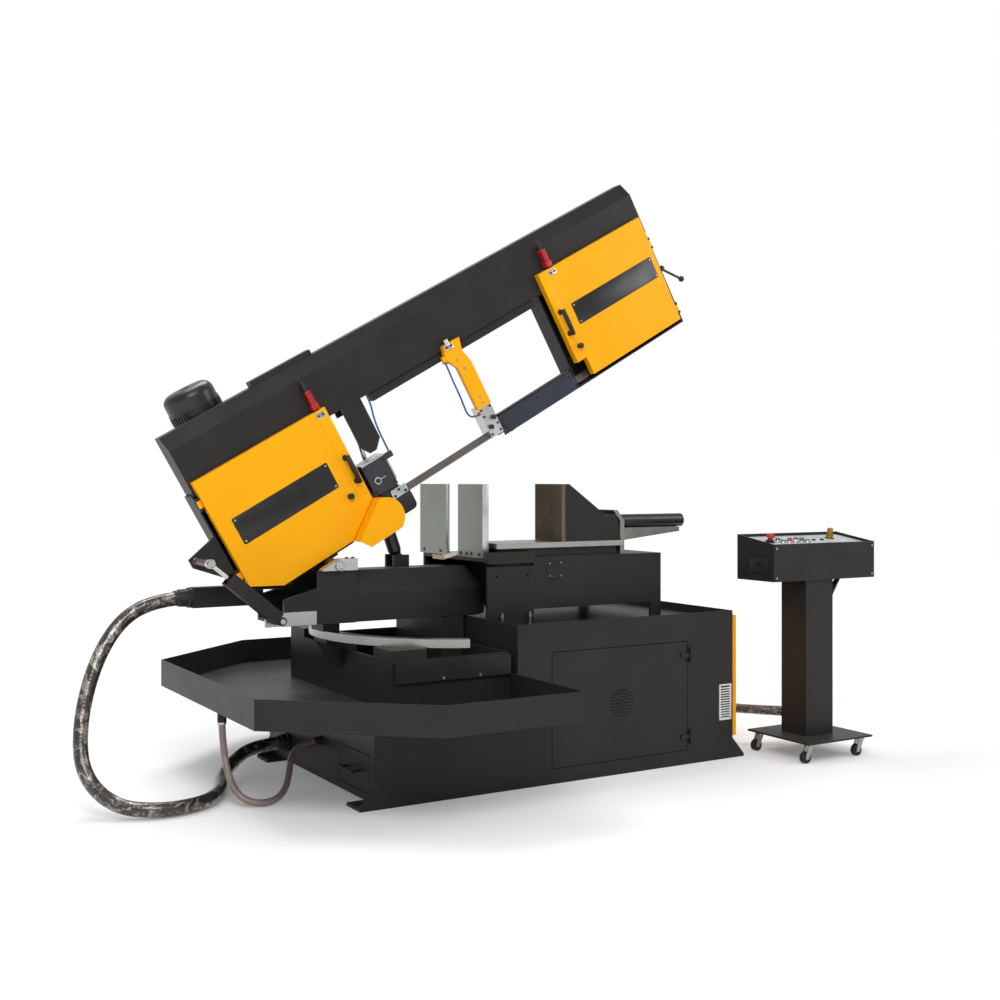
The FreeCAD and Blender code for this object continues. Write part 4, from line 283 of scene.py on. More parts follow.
clear_pvc = soft_plastic("clear_pvc", "#a08f88", 0.14, 0.35, 30)
drain_line = centreline(DRAIN_ROUTE)
drain = hose("drain_hose_pvc", drain_line, DRAIN_STEP, 24, lambda d, a: DRAIN_RADIUS, clear_pvc)
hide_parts("drain_hose")
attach(drain, "base")

# ---- Console conduit ---------------------------------------------------------------------------------------
# Corrugated steel conduit, in the same film, between the electric compartment and the console's column. Its
# ribs are turned round it.
CONSOLE_ROUTE = [
    (0.891, -0.250, 0.165), (0.965, -0.250, 0.165), (1.040, -0.262, 0.158), (1.110, -0.300, 0.152),
    (1.165, -0.358, 0.150), (1.196, -0.430, 0.155), (1.205, -0.490, 0.160), (1.205, -0.540, 0.160),
]
CONSOLE_RADIUS, CONSOLE_LENGTH = 0.022, 0.49
RIB_PITCH, RIB_DEEP = 0.009, 0.0022

console_line = centreline(CONSOLE_ROUTE)
console_conduit = hose(
    "console_conduit_ribs", console_line, RIB_PITCH / 6, 24,
    lambda d, a: CONSOLE_RADIUS - RIB_DEEP * (0.5 + 0.5 * math.cos(2 * math.pi * d / RIB_PITCH)),
    conduit_film)
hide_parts("console_conduit")
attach(console_conduit, "base")

# ---- Coolant tubes -----------------------------------------------------------------------------------------
# Two blue polyurethane tubes, one to each blade guide, pushed into brass elbows. Their routes are laid out in
# the bow's own axes, in millimetres.
PIVOT = Vector((-0.826, 0.0, 0.865))
BOW_TILT = math.radians(29.5)
LEFT_TUBE = [
    (490, -14, 507), (490, -14, 465), (476, -18, 425), (465, -25, 382), (460, -31, 340), (458, -33, 300),
    (458, -33, 262),
]
RIGHT_TUBE = [
    (866, -41, 462), (865, -41, 425), (862, -41, 385), (861, -41, 345), (862, -38, 305), (862, -32, 268),
    (863, -25, 235), (868, -20, 208), (886, -20, 190), (917, -20, 190),
]
TUBE_RADIUS, TUBE_STEP = 0.004, 0.004
LEFT_TUBE_LENGTH, RIGHT_TUBE_LENGTH = 0.249, 0.305


def on_bow(s, y, t):
    """A place in the bow's own axes, in millimetres, as a point of the machine in metres."""
    turn = Matrix.Rotation(-BOW_TILT, 3, "Y")
    return PIVOT + turn @ Vector((s / 1000, y / 1000, t / 1000))


blue_tube = soft_plastic("blue_polyurethane", "#1c5ea8", 0.25, 0.1, 40)
for name, route, length, body in (("left", LEFT_TUBE, LEFT_TUBE_LENGTH, "bow"),
                                  ("right", RIGHT_TUBE, RIGHT_TUBE_LENGTH, "guide")):
    route = [tuple(on_bow(*place)) for place in route]
    line = centreline(route)
    tube = hose(f"coolant_tube_{name}", line, TUBE_STEP, 12, lambda d, a: TUBE_RADIUS, blue_tube)
    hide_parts(f"coolant_{name}")
    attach(tube, body)

# ---- Painted steel shell -----------------------------------------------------------------------------------
# Cabinet, tray, pedestal, arm, bed and bow are welded sheet, powder coated in anthracite with a fine orange
# peel. Dust and chips settle on what faces up.
PEEL_MM, CLOUD_MM = 2.2, 160.0          # the peel is drawn some four times coarser than a real one, to show
DUST = "#8d8a84"


def powder_coat(name, code, roughness, peel, spread, dust, shine=0.5):
    """Sprayed and baked powder: a fine orange peel, slow clouds of tone and a little dust on what faces up."""
    material, tree = new_material(name)
    place = add(tree, "ShaderNodeTexCoord")
    grain = add(tree, "ShaderNodeTexNoise", None, Vector=place.outputs["Object"], Scale=1000.0 / PEEL_MM,
                Detail=2.0)
    cloud = add(tree, "ShaderNodeTexNoise", None, Vector=place.outputs["Object"], Scale=1000.0 / CLOUD_MM,
                Detail=5.0)
    value = add(tree, "ShaderNodeMapRange", None, Value=cloud.outputs[0], From_Min=0.3, From_Max=0.7,
                To_Min=1 - spread, To_Max=1 + spread)
    tone = add(tree, "ShaderNodeHueSaturation", None, Color=colour(code), Value=value.outputs[0])
    facing = add(tree, "ShaderNodeNewGeometry")
    split = add(tree, "ShaderNodeSeparateXYZ", None, Vector=facing.outputs["Normal"])
    lying = add(tree, "ShaderNodeMapRange", None, Value=split.outputs[2], From_Min=0.6, From_Max=1.0,
                To_Max=dust)
    spots = add(tree, "ShaderNodeMath", {"operation": "MULTIPLY"}, _0=lying.outputs[0], _1=cloud.outputs[0])
    dusty = add(tree, "ShaderNodeMix", {"data_type": "RGBA"}, Factor=spots.outputs[0])
    tree.links.new(tone.outputs[0], dusty.inputs[6])
    dusty.inputs[7].default_value = colour(DUST)
    gloss = add(tree, "ShaderNodeMapRange", None, Value=cloud.outputs[0], To_Min=roughness - 0.08,
                To_Max=roughness + 0.08)
    skin = add(tree, "ShaderNodeBump", None, Height=grain.outputs[0], Strength=peel, Distance=0.0003)
    shader = add(tree, "ShaderNodeBsdfPrincipled", None, Base_Color=dusty.outputs[2],
                 Roughness=gloss.outputs[0], Normal=skin.outputs[0])
    shader.inputs["Specular IOR Level"].default_value = shine
    close_material(tree, shader)
    return material


def finish_nodes(material, *names):
    for name in names:
        slots = nodes[name].data.materials
        slots.clear()
        slots.append(material)


anthracite = powder_coat("anthracite_powder_coat", "#272524", 0.40, 0.25, 0.14, 0.2, 0.22)
finish_nodes(
    anthracite, "cabinet_low", "cabinet_tall", "chip_tray", "pedestal", "vise_bed", "mitre_arm",
    "junction_box",
    "bow_beam", "left_housing", "right_housing", "service_door", "chip_drawer", "console_desk", "moving_jaw",
    "strut_barrel", "pump_unit", "guide_rail", "console_stand")

# ---- Yellow covers -----------------------------------------------------------------------------------------
# Doors, brush hood, guide arm and the end cover are folded or cut sheet in a golden yellow powder coat, which
# is smoother and glossier than the anthracite one.
golden = powder_coat("golden_yellow_powder_coat", "#f9ac00", 0.36, 0.2, 0.03, 0.0, 0.2)
finish_nodes(golden, "left_door", "right_door", "brush_hood", "guide_arm", "electric_cover")


def plate(outline, low, high, place, edge=0.0, steps=2):
    """Closed plate from an outline in its own plane, given a thickness, with its edges broken."""
    shape = bmesh.new()
    ends = [[shape.verts.new(place(a, b, depth)) for a, b in outline] for depth in (low, high)]
    shape.faces.new(ends[0])
    shape.faces.new(ends[1][::-1])
    count = len(outline)
    for k in range(count):
        j = (k + 1) % count
        shape.faces.new((ends[0][k], ends[1][k], ends[1][j], ends[0][j]))
    bmesh.ops.recalc_face_normals(shape, faces=shape.faces[:])
    if edge:
        bmesh.ops.bevel(shape, geom=shape.edges[:], offset=edge, segments=steps, profile=0.5, affect="EDGES",
                        clamp_overlap=True)
    return shape


def oblong(a0, a1, b0, b1, corner=0.0, steps=5):
    """Outline of a rectangle with round corners."""
    if not corner:
        return [(a0, b0), (a1, b0), (a1, b1), (a0, b1)]
    points = []
    for a, b, first in ((a1, b1, 0), (a0, b1, 1), (a0, b0, 2), (a1, b0, 3)):
        centre = (a - math.copysign(corner, a - (a0 + a1) / 2), b - math.copysign(corner, b - (b0 + b1) / 2))
        for k in range(steps + 1):
            turn = math.pi / 2 * (first + k / steps)
            points.append((centre[0] + corner * math.cos(turn), centre[1] + corner * math.sin(turn)))
    return points


def turned(profile, base, axis, sides=32):
    """Solid of revolution from (distance along its axis, radius) pairs, in millimetres, starting at a point."""
    way = Vector(axis).normalized()
    side = way.orthogonal().normalized()
    up = way.cross(side)
    shape = bmesh.new()
    rings = []
    for along, radius in profile:
        centre = Vector(base) + way * along / 1000
        rings.append([
            shape.verts.new(centre + (side * math.cos(2 * math.pi * k / sides)
                                      + up * math.sin(2 * math.pi * k / sides)) * radius / 1000)
            for k in range(sides)])
    for lower, upper in zip(rings, rings[1:]):
        for k in range(sides):
            j = (k + 1) % sides
            shape.faces.new((lower[k], lower[j], upper[j], upper[k]))
    shape.faces.new(rings[0][::-1])
    shape.faces.new(rings[-1])
    bmesh.ops.recalc_face_normals(shape, faces=shape.faces[:])
    return shape


def assemble(name, shapes, material, body, smooth_below=40.0):
    """One piece from several closed shapes, riding on a body."""
    whole = bmesh.new()
    for shape in shapes:
        part = bpy.data.meshes.new("part")
        shape.to_mesh(part)
        shape.free()
        whole.from_mesh(part)
        bpy.data.meshes.remove(part)
    mesh = bpy.data.meshes.new(name)
    whole.to_mesh(mesh)
    whole.free()
    mesh.shade_smooth()
    mesh.set_sharp_from_angle(angle=math.radians(smooth_below))
    mesh.materials.append(material)
    piece = bpy.data.objects.new(name, mesh)
    scene.collection.objects.link(piece)
    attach(piece, body)
    return piece


def front_plate(outline, low, high, edge=0.0):
    """Plate parallel to the bow's face, from y low to y high, with its outline in the bow's own axes."""
    return plate(outline, low, high, lambda s, t, y: on_bow(s, y, t), edge / 1000)


def upright_plate(outline, low, high, edge=0.0):
    """Plate parallel to the cabinet's front, with its outline in the machine's x and z."""
    return plate(outline, low, high, lambda x, z, y: Vector((x, y, z)) / 1000, edge / 1000)


BOW_OUT = Vector((0.0, -1.0, 0.0))               # the way that the bow's face looks
BOW_UP = on_bow(0, 0, 1) - on_bow(0, 0, 0)       # square to the bow's run, upwards
BOW_ALONG = on_bow(1, 0, 0) - on_bow(0, 0, 0)

# ---- Bare metals -------------------------------------------------------------------------------------------
# Jaws and their end plate are zinc plated, slides and rods are ground steel, brackets and the moving guide
# are machined aluminium, wheels and the fixed guide are iron castings. Each shows the run of its tool marks.
STAIN_MM = 90.0                         # size of the slow stains on bare metal and mouldings


def ground_metal(name, code, roughness, marks, tilt=0.0, metallic=1.0, spread=0.12, relief=0.15):
    """Bare metal with tool marks. marks gives the size of one mark in millimetres along x, y and z."""
    material, tree = new_material(name)
    place = add(tree, "ShaderNodeTexCoord")
    lay = add(tree, "ShaderNodeMapping", {"vector_type": "TEXTURE"}, Vector=place.outputs["Object"],
              Rotation=(0.0, -tilt, 0.0), Scale=tuple(m / 1000 for m in marks))
    lines = add(tree, "ShaderNodeTexNoise", None, Vector=lay.outputs[0], Scale=1.0, Detail=3.0)
    cloud = add(tree, "ShaderNodeTexNoise", None, Vector=place.outputs["Object"], Scale=1000.0 / STAIN_MM,
                Detail=4.0)
    both = add(tree, "ShaderNodeMath", {"operation": "ADD"}, _0=lines.outputs[0], _1=cloud.outputs[0])
    value = add(tree, "ShaderNodeMapRange", None, Value=both.outputs[0], From_Min=0.7, From_Max=1.3,
                To_Min=1 - spread, To_Max=1 + spread)
    tone = add(tree, "ShaderNodeHueSaturation", None, Color=colour(code), Value=value.outputs[0])
    gloss = add(tree, "ShaderNodeMapRange", None, Value=both.outputs[0], From_Min=0.7, From_Max=1.3,
                To_Min=roughness - 0.07, To_Max=roughness + 0.1)
    skin = add(tree, "ShaderNodeBump", None, Height=lines.outputs[0], Strength=relief, Distance=0.0004)
    shader = add(tree, "ShaderNodeBsdfPrincipled", None, Base_Color=tone.outputs[0], Metallic=metallic,
                 Roughness=gloss.outputs[0], Normal=skin.outputs[0])
    close_material(tree, shader)
    return material


zinc_plate = ground_metal("zinc_plated_jaw_steel", "#8b8f88", 0.34, (3.0, 3.0, 60.0), 0.0, 0.8)
ground_steel = ground_metal("ground_steel", "#a5a5a1", 0.30, (120.0, 1.2, 1.2))
bow_rod_steel = ground_metal("chromed_rod_steel", "#c4c5c6", 0.18, (40.0, 2.0, 2.0))
spring_steel = ground_metal("rolled_spring_steel", "#6f6660", 0.36, (80.0, 2.0, 1.5), BOW_TILT, 0.85)
cast_iron = ground_metal("painted_cast_iron", "#34363a", 0.55, (2.5, 2.5, 2.5), 0.0, 0.35, 0.18, 0.6)
machined_aluminium = ground_metal("machined_aluminium", "#bfc1c3", 0.34, (30.0, 1.5, 1.5), BOW_TILT)
bracket_aluminium = ground_metal("sawn_aluminium_bar", "#b9bbbd", 0.38, (1.5, 1.5, 26.0))
milled_edge = ground_metal("milled_steel_edge", "#c9cacc", 0.36, (2.0, 2.0, 30.0))
zinc_casting = ground_metal("zinc_plated_pressing", "#a2a4a1", 0.36, (4.0, 4.0, 4.0))
oiled_steel = ground_metal("oiled_brown_steel", "#6e6355", 0.38, (3.0, 3.0, 3.0))
turned_brass = ground_metal("turned_brass", "#b58a3c", 0.3, (2.0, 2.0, 0.8))
raw_sheet = ground_metal("raw_chute_sheet", "#b3a98f", 0.42, (40.0, 3.0, 3.0), 0.0, 0.5, 0.2)
finish_nodes(zinc_plate, "fixed_jaw_front", "fixed_jaw_rear", "vise_end_plate")
finish_nodes(ground_steel, "vise_slab", "mitre_rail")
finish_nodes(bow_rod_steel, "lift_rod", "strut_rod")
finish_nodes(oiled_steel, "moving_jaw_face")
finish_nodes(spring_steel, "saw_blade")
finish_nodes(cast_iron, "drive_wheel", "idler_wheel", "fixed_guide")
finish_nodes(machined_aluminium, "guide_head")
finish_nodes(bracket_aluminium, "pivot_mount", "strut_bracket")
finish_nodes(zinc_casting, *[f"caster_fork_{k}" for k in range(1, 5)])
finish_nodes(turned_brass, "selector_knob")

# ---- Dark paints and mouldings -----------------------------------------------------------------------------
# The fan cowl and the tubes are gloss black, the blade cover is blue-black enamel, and handles, wheels and
# knobs are moulded in nylon, rubber and phenolic, which keep a fine matt grain from the mould.
SPECK_MM = 1.4


def moulded(name, code, roughness, grain=0.15, coat=0.0):
    """Moulded or sprayed even finish with a fine grain and slight changes of gloss."""
    material, tree = new_material(name)
    place = add(tree, "ShaderNodeTexCoord")
    fine = add(tree, "ShaderNodeTexNoise", None, Vector=place.outputs["Object"], Scale=1000.0 / SPECK_MM,
               Detail=2.0)
    cloud = add(tree, "ShaderNodeTexNoise", None, Vector=place.outputs["Object"], Scale=1000.0 / STAIN_MM,
                Detail=4.0)
    value = add(tree, "ShaderNodeMapRange", None, Value=cloud.outputs[0], From_Min=0.3, From_Max=0.7,
                To_Min=0.88, To_Max=1.12)
    tone = add(tree, "ShaderNodeHueSaturation", None, Color=colour(code), Value=value.outputs[0])
    gloss = add(tree, "ShaderNodeMapRange", None, Value=cloud.outputs[0], From_Min=0.3, From_Max=0.7,
                To_Min=roughness - 0.05, To_Max=roughness + 0.08)
    skin = add(tree, "ShaderNodeBump", None, Height=fine.outputs[0], Strength=grain, Distance=0.0002)
    shader = add(tree, "ShaderNodeBsdfPrincipled", None, Base_Color=tone.outputs[0],
                 Roughness=gloss.outputs[0], Normal=skin.outputs[0], Coat_Weight=coat)
    close_material(tree, shader)
    return material


gloss_black = moulded("gloss_black_paint", "#131314", 0.3, 0.1)
blue_black = moulded("blue_black_enamel", "#1d2436", 0.36, 0.1)
black_nylon = moulded("black_nylon", "#141415", 0.5)
black_rubber = moulded("black_rubber", "#171717", 0.75, 0.4)
red_nylon = moulded("red_nylon", "#b0161d", 0.38)
bristle_nylon = moulded("bristle_nylon", "#8a7446", 0.7, 1.0)
grey_panel = moulded("grey_printed_panel", "#b9bdc2", 0.42)
pale_grille_plastic = moulded("pale_grille_plastic", "#d4d4d0", 0.5)
plate_black = moulded("black_anodised_plate", "#0e0e10", 0.33, 0.05)
finish_nodes(gloss_black, "drive_unit", "lift_barrel", "tension_lever", "vise_cylinder")
finish_nodes(blue_black, "blade_cover")
finish_nodes(black_rubber, *[f"caster_wheel_{k}" for k in range(1, 5)])
finish_nodes(red_nylon, "stop_button")
finish_nodes(bristle_nylon, "chip_brush")

# ---- Screws ------------------------------------------------------------------------------------------------
# Socket-head and pan-head screws hold plates, guides and brackets. They are zinc plated or blackened steel.


def screw_tree():
    """Geometry Nodes that stand a screw head with a recess on each point of a mesh."""
    tree = bpy.data.node_groups.new("screw_heads", "GeometryNodeTree")
    tree.interface.new_socket("Points", in_out="INPUT", socket_type="NodeSocketGeometry")
    tree.interface.new_socket("Head radius", in_out="INPUT", socket_type="NodeSocketFloat")
    tree.interface.new_socket("Head height", in_out="INPUT", socket_type="NodeSocketFloat")
    tree.interface.new_socket("Recess share", in_out="INPUT", socket_type="NodeSocketFloat")
    tree.interface.new_socket("Way out", in_out="INPUT", socket_type="NodeSocketVector")
    tree.interface.new_socket("Finish", in_out="INPUT", socket_type="NodeSocketMaterial")
    tree.interface.new_socket("Geometry", in_out="OUTPUT", socket_type="NodeSocketGeometry")
    given = add(tree, "NodeGroupInput")
    points = add(tree, "GeometryNodeMeshToPoints", None, Mesh=given.outputs["Points"])
    head = add(tree, "GeometryNodeMeshCylinder", {"fill_type": "NGON"}, Vertices=18,
               Radius=given.outputs["Head radius"], Depth=given.outputs["Head height"])
    rim = add(tree, "GeometryNodeExtrudeMesh", None, Mesh=head.outputs["Mesh"], Selection=head.outputs["Top"],
              Offset_Scale=0.0)
    narrow = add(tree, "GeometryNodeScaleElements", None, Geometry=rim.outputs["Mesh"],
                 Selection=rim.outputs["Top"], Scale=given.outputs["Recess share"])
    deep = add(tree, "ShaderNodeMath", {"operation": "MULTIPLY"}, _0=given.outputs["Head height"], _1=-0.6)
    sunk = add(tree, "GeometryNodeExtrudeMesh", None, Mesh=narrow.outputs[0], Selection=rim.outputs["Top"],
               Offset_Scale=deep.outputs[0])
    aim = add(tree, "FunctionNodeAlignRotationToVector", {"axis": "Z"}, Vector=given.outputs["Way out"])
    copies = add(tree, "GeometryNodeInstanceOnPoints", None, Points=points.outputs[0],
                 Instance=sunk.outputs["Mesh"], Rotation=aim.outputs[0])
    solid = add(tree, "GeometryNodeRealizeInstances", None, Geometry=copies.outputs[0])
    dressed = add(tree, "GeometryNodeSetMaterial", None, Geometry=solid.outputs[0],
                  Material=given.outputs["Finish"])
    add(tree, "NodeGroupOutput", None, Geometry=dressed.outputs[0])
    return tree


def grown(name, start, tree, body, slot, **values):
    """A piece that a Geometry Nodes tree grows from a start mesh, turned into a plain mesh."""
    holder = bpy.data.objects.new(name + "_start", start)
    scene.collection.objects.link(holder)
    modifier = holder.modifiers.new("grow", "NODES")
    modifier.node_group = tree
    for item in tree.interface.items_tree:
        key = item.name.replace(" ", "_")
        if item.in_out == "INPUT" and key in values:
            modifier[item.identifier] = values[key]
    bpy.context.view_layer.update()
    mesh = bpy.data.meshes.new_from_object(holder.evaluated_get(bpy.context.evaluated_depsgraph_get()))
    bpy.data.objects.remove(holder)
    mesh.name = name
    mesh.shade_smooth()
    mesh.set_sharp_from_angle(angle=math.radians(35))
    piece = bpy.data.objects.new(name, mesh)
    scene.collection.objects.link(piece)
    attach(piece, body)
    return piece


SCREW_TREE = screw_tree()
steel_screw = ground_metal("zinc_plated_screw", "#b7b8b4", 0.3, (2.0, 2.0, 2.0))
black_screw = moulded("blackened_screw", "#202022", 0.4)


def screws(name, places, way, radius, height, finish, body, slot, recess=0.55):
    """Screw heads of one size, on points given in metres, all looking one way."""
    start = bpy.data.meshes.new(name + "_points")
    start.from_pydata([tuple(Vector(p) + Vector(way) * height / 2000) for p in places], [], [])
    return grown(name, start, SCREW_TREE, body, slot, Head_radius=radius / 1000, Head_height=height / 1000,
                 Recess_share=recess, Way_out=tuple(way), Finish=finish)


# ---- Door plates and handles -------------------------------------------------------------------------------
# Each wheel door carries a bare black anodised plate on four screws, a moulded bow handle, the steel key of
# its door switch and a black latch knob.
DOOR_FACE = -58.0
DOORS = [
    ("left", (-262, 185, 248, 361), (264, 225, 345), (256, 534), (208, 192)),
    ("right", (1552, 2057, 303, 405), (1481, 285, 405), (1532, 568), (1500, 222)),
]                                       # nameplate, handle, switch key and latch, along and across the bow
LIPS = {"left": (238, 286.5, 170, 554.5), "right": (1457.5, 1506, 160.5, 587.5)}  # folded by the handle
LIP_THICK, PLATE_THICK, PLATE_CORNER, PLATE_SCREW_IN = 1.5, 1.6, 7.0, 11.0
HANDLE_OUT, HANDLE_R, HANDLE_POST_R, HANDLE_FOOT, HANDLE_POST_IN = 30.0, 9.4, 7.6, 13.0, 8.0
KEY_HALF_WIDE, KEY_HALF_TALL, KEY_THICK, KEY_SCREW_AT = 19.0, 12.0, 2.0, 11.0
LATCH_PROFILE = [(0, 11), (3, 11), (4, 8), (9, 8), (12, 12), (20, 12.5),
                 (23, 9)]      # distance out and radius


def door_handle(s, low, high):
    """Barrel of a moulded handle, swollen at its middle, on two flared posts."""
    tall = high - low
    barrel = turned([(-2, 4), (-1.4, 7), (1, HANDLE_R), (tall / 2, HANDLE_R + 1.4), (tall - 1, HANDLE_R),
                     (tall + 1.4, 7), (tall + 2, 4)], on_bow(s, DOOR_FACE - HANDLE_OUT, low), BOW_UP, 24)
    post = [(0, HANDLE_FOOT), (4, HANDLE_FOOT - 1), (6, HANDLE_POST_R + 1), (12, HANDLE_POST_R),
            (HANDLE_OUT, HANDLE_POST_R)]
    return [barrel] + [turned(post, on_bow(s, DOOR_FACE, t), BOW_OUT, 24)
                       for t in (low + HANDLE_POST_IN, high - HANDLE_POST_IN)]


for side, (s0, s1, t0, t1), handle, (key_s, key_t), (knob_s, knob_t) in DOORS:
    leaf = f"{side}_door_leaf"
    plate_front = DOOR_FACE - PLATE_THICK
    lip = front_plate(oblong(*LIPS[side]), DOOR_FACE - LIP_THICK, DOOR_FACE, 0.7)
    assemble(f"{side}_door_lip", [lip], golden, leaf)
    name_plate = front_plate(oblong(s0, s1, t0, t1, PLATE_CORNER), plate_front, DOOR_FACE, 0.4)
    assemble(f"{side}_door_plate", [name_plate], plate_black, leaf)
    corners = [on_bow(s, plate_front, t) for s in (s0 + PLATE_SCREW_IN, s1 - PLATE_SCREW_IN)
               for t in (t0 + PLATE_SCREW_IN, t1 - PLATE_SCREW_IN)]
    screws(f"{side}_door_plate_screws", corners, BOW_OUT, 4.2, 2.0, steel_screw, leaf, "zinc_plate")
    assemble(f"{side}_door_handle", door_handle(*handle), black_nylon, leaf, 50)
    key = front_plate(oblong(key_s - KEY_HALF_WIDE, key_s + KEY_HALF_WIDE, key_t - KEY_HALF_TALL,
                             key_t + KEY_HALF_TALL, 3), DOOR_FACE - KEY_THICK, DOOR_FACE, 0.4)
    assemble(f"{side}_door_switch_key", [key], steel_screw, leaf)
    ends = [on_bow(key_s + d, DOOR_FACE - KEY_THICK, key_t) for d in (-KEY_SCREW_AT, KEY_SCREW_AT)]
    screws(f"{side}_door_key_screws", ends, BOW_OUT, 4.5, 3, black_screw, leaf, "black_plastic")
    knob = turned(LATCH_PROFILE, on_bow(knob_s, DOOR_FACE, knob_t), BOW_OUT, 20)
    assemble(f"{side}_door_latch", [knob], black_nylon, leaf)

# ---- Door switches -----------------------------------------------------------------------------------------
# A red moulded safety switch stands on the beam's face above each door, ribbed down its front, with a black
# head and a cable gland on top.
BEAM_FACE = -28.0
SWITCHES = [(252, 562), (1532, 596)]     # along the bow and square to it
SWITCH_HALF, SWITCH_NECK, SWITCH_DEEP, SWITCH_TALL, SWITCH_FOOT = 15.0, 10.0, 34.0, 92.0, 26.0
SWITCH_RIBS, SWITCH_RIB_FROM, SWITCH_RIB_STEP, SWITCH_RIB_TALL, SWITCH_RIB_OUT = 5, 32.0, 10.0, 5.0, 2.5
SWITCH_HEAD = [(-13, 9), (0, 9), (1, 12), (7, 12), (8, 9.5), (17, 9.5), (18, 7.5), (26, 6.5), (30, 4)]

red_shapes, black_shapes = [], []
switch_front = BEAM_FACE - SWITCH_DEEP
for s, t in SWITCHES:
    neck = oblong(s - SWITCH_NECK, s + SWITCH_NECK, t + SWITCH_FOOT - 1, t + SWITCH_TALL - 12, 3)
    red_shapes.append(front_plate(oblong(s - SWITCH_HALF, s + SWITCH_HALF, t, t + SWITCH_FOOT, 3),
                                  switch_front, BEAM_FACE, 1.2))
    red_shapes.append(front_plate(neck, switch_front + 4, BEAM_FACE, 1.2))
    rib_half = SWITCH_NECK + SWITCH_RIB_OUT
    for k in range(SWITCH_RIBS):
        low = t + SWITCH_RIB_FROM + k * SWITCH_RIB_STEP
        red_shapes.append(front_plate(oblong(s - rib_half, s + rib_half, low, low + SWITCH_RIB_TALL),
                                      switch_front + 1, BEAM_FACE - 4, 0.8))
    black_shapes.append(front_plate(oblong(s - 9, s + 9, t - 6, t, 2), switch_front + 6, BEAM_FACE - 3, 1))
    black_shapes.append(turned(SWITCH_HEAD, on_bow(s, BEAM_FACE - SWITCH_DEEP / 2, t + SWITCH_TALL), BOW_UP,
                               18))
switch_bodies = assemble("door_switch_bodies", red_shapes, red_nylon, "bow")
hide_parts("interlocks")
assemble("door_switch_heads", black_shapes, black_nylon, "bow")

# ---- Fan cowl ----------------------------------------------------------------------------------------------
# The upright motor's fan cowl is pressed steel, gloss black, with a ring of upright cooling ribs round its
# foot, a rolled band above them and a low boss on its crown.


def rib_tree():
    """Geometry Nodes that stand one rib on each point of a mesh, facing away from an axis."""
    tree = bpy.data.node_groups.new("ribs_round_an_axis", "GeometryNodeTree")
    tree.interface.new_socket("Points", in_out="INPUT", socket_type="NodeSocketGeometry")
    tree.interface.new_socket("Rib size", in_out="INPUT", socket_type="NodeSocketVector")
    tree.interface.new_socket("Axis", in_out="INPUT", socket_type="NodeSocketVector")
    tree.interface.new_socket("Centre", in_out="INPUT", socket_type="NodeSocketVector")
    tree.interface.new_socket("Finish", in_out="INPUT", socket_type="NodeSocketMaterial")
    tree.interface.new_socket("Geometry", in_out="OUTPUT", socket_type="NodeSocketGeometry")
    given = add(tree, "NodeGroupInput")
    points = add(tree, "GeometryNodeMeshToPoints", None, Mesh=given.outputs["Points"])
    rib = add(tree, "GeometryNodeMeshCube", None, Size=given.outputs["Rib size"])
    place = add(tree, "GeometryNodeInputPosition")
    outward = add(tree, "ShaderNodeVectorMath", {"operation": "SUBTRACT"}, _0=place.outputs[0],
                  _1=given.outputs["Centre"])
    upright = add(tree, "FunctionNodeAlignRotationToVector", {"axis": "Z"}, Vector=given.outputs["Axis"])
    facing = add(tree, "FunctionNodeAlignRotationToVector", {"axis": "X", "pivot_axis": "Z"},
                 Rotation=upright.outputs[0], Vector=outward.outputs[0])
    copies = add(tree, "GeometryNodeInstanceOnPoints", None, Points=points.outputs[0],
                 Instance=rib.outputs["Mesh"], Rotation=facing.outputs[0])
    solid = add(tree, "GeometryNodeRealizeInstances", None, Geometry=copies.outputs[0])
    dressed = add(tree, "GeometryNodeSetMaterial", None, Geometry=solid.outputs[0],
                  Material=given.outputs["Finish"])
    add(tree, "NodeGroupOutput", None, Geometry=dressed.outputs[0])
    return tree


RIB_TREE = rib_tree()
COWL_S, COWL_Y, COWL_FOOT, COWL_CROWN, COWL_R = -109.0, 170.0, 735.0, 857.0, 103.0
COWL_RIBS, COWL_RIB, COWL_RIB_UP = 44, (0.007, 0.006, 0.034), 22.0
COWL_BOSS, COWL_BAND_UP = [(0, 17), (2.5, 17), (2.5, 14)], 40.0

rib_places = []
for k in range(COWL_RIBS):
    turn = 2 * math.pi * k / COWL_RIBS
    rib_places.append(tuple(on_bow(COWL_S + COWL_R * math.cos(turn), COWL_Y + COWL_R * math.sin(turn),
                                   COWL_FOOT + COWL_RIB_UP)))
start = bpy.data.meshes.new("cowl_rib_points")
start.from_pydata(rib_places, [], [])
grown("fan_cowl_ribs", start, RIB_TREE, "bow", "black_plastic", Rib_size=COWL_RIB, Axis=tuple(BOW_UP),
      Centre=tuple(on_bow(COWL_S, COWL_Y, COWL_FOOT + COWL_RIB_UP)), Finish=gloss_black)
boss = turned(COWL_BOSS, on_bow(COWL_S, COWL_Y, COWL_CROWN - 0.5), BOW_UP, 40)
assemble("fan_cowl_boss", [boss], gloss_black, "bow")
band = turned([(0, COWL_R + 2), (5, COWL_R + 3), (10, COWL_R + 2)],
              on_bow(COWL_S, COWL_Y, COWL_FOOT + COWL_BAND_UP), BOW_UP, 64)
assemble("fan_cowl_band", [band], gloss_black, "bow")

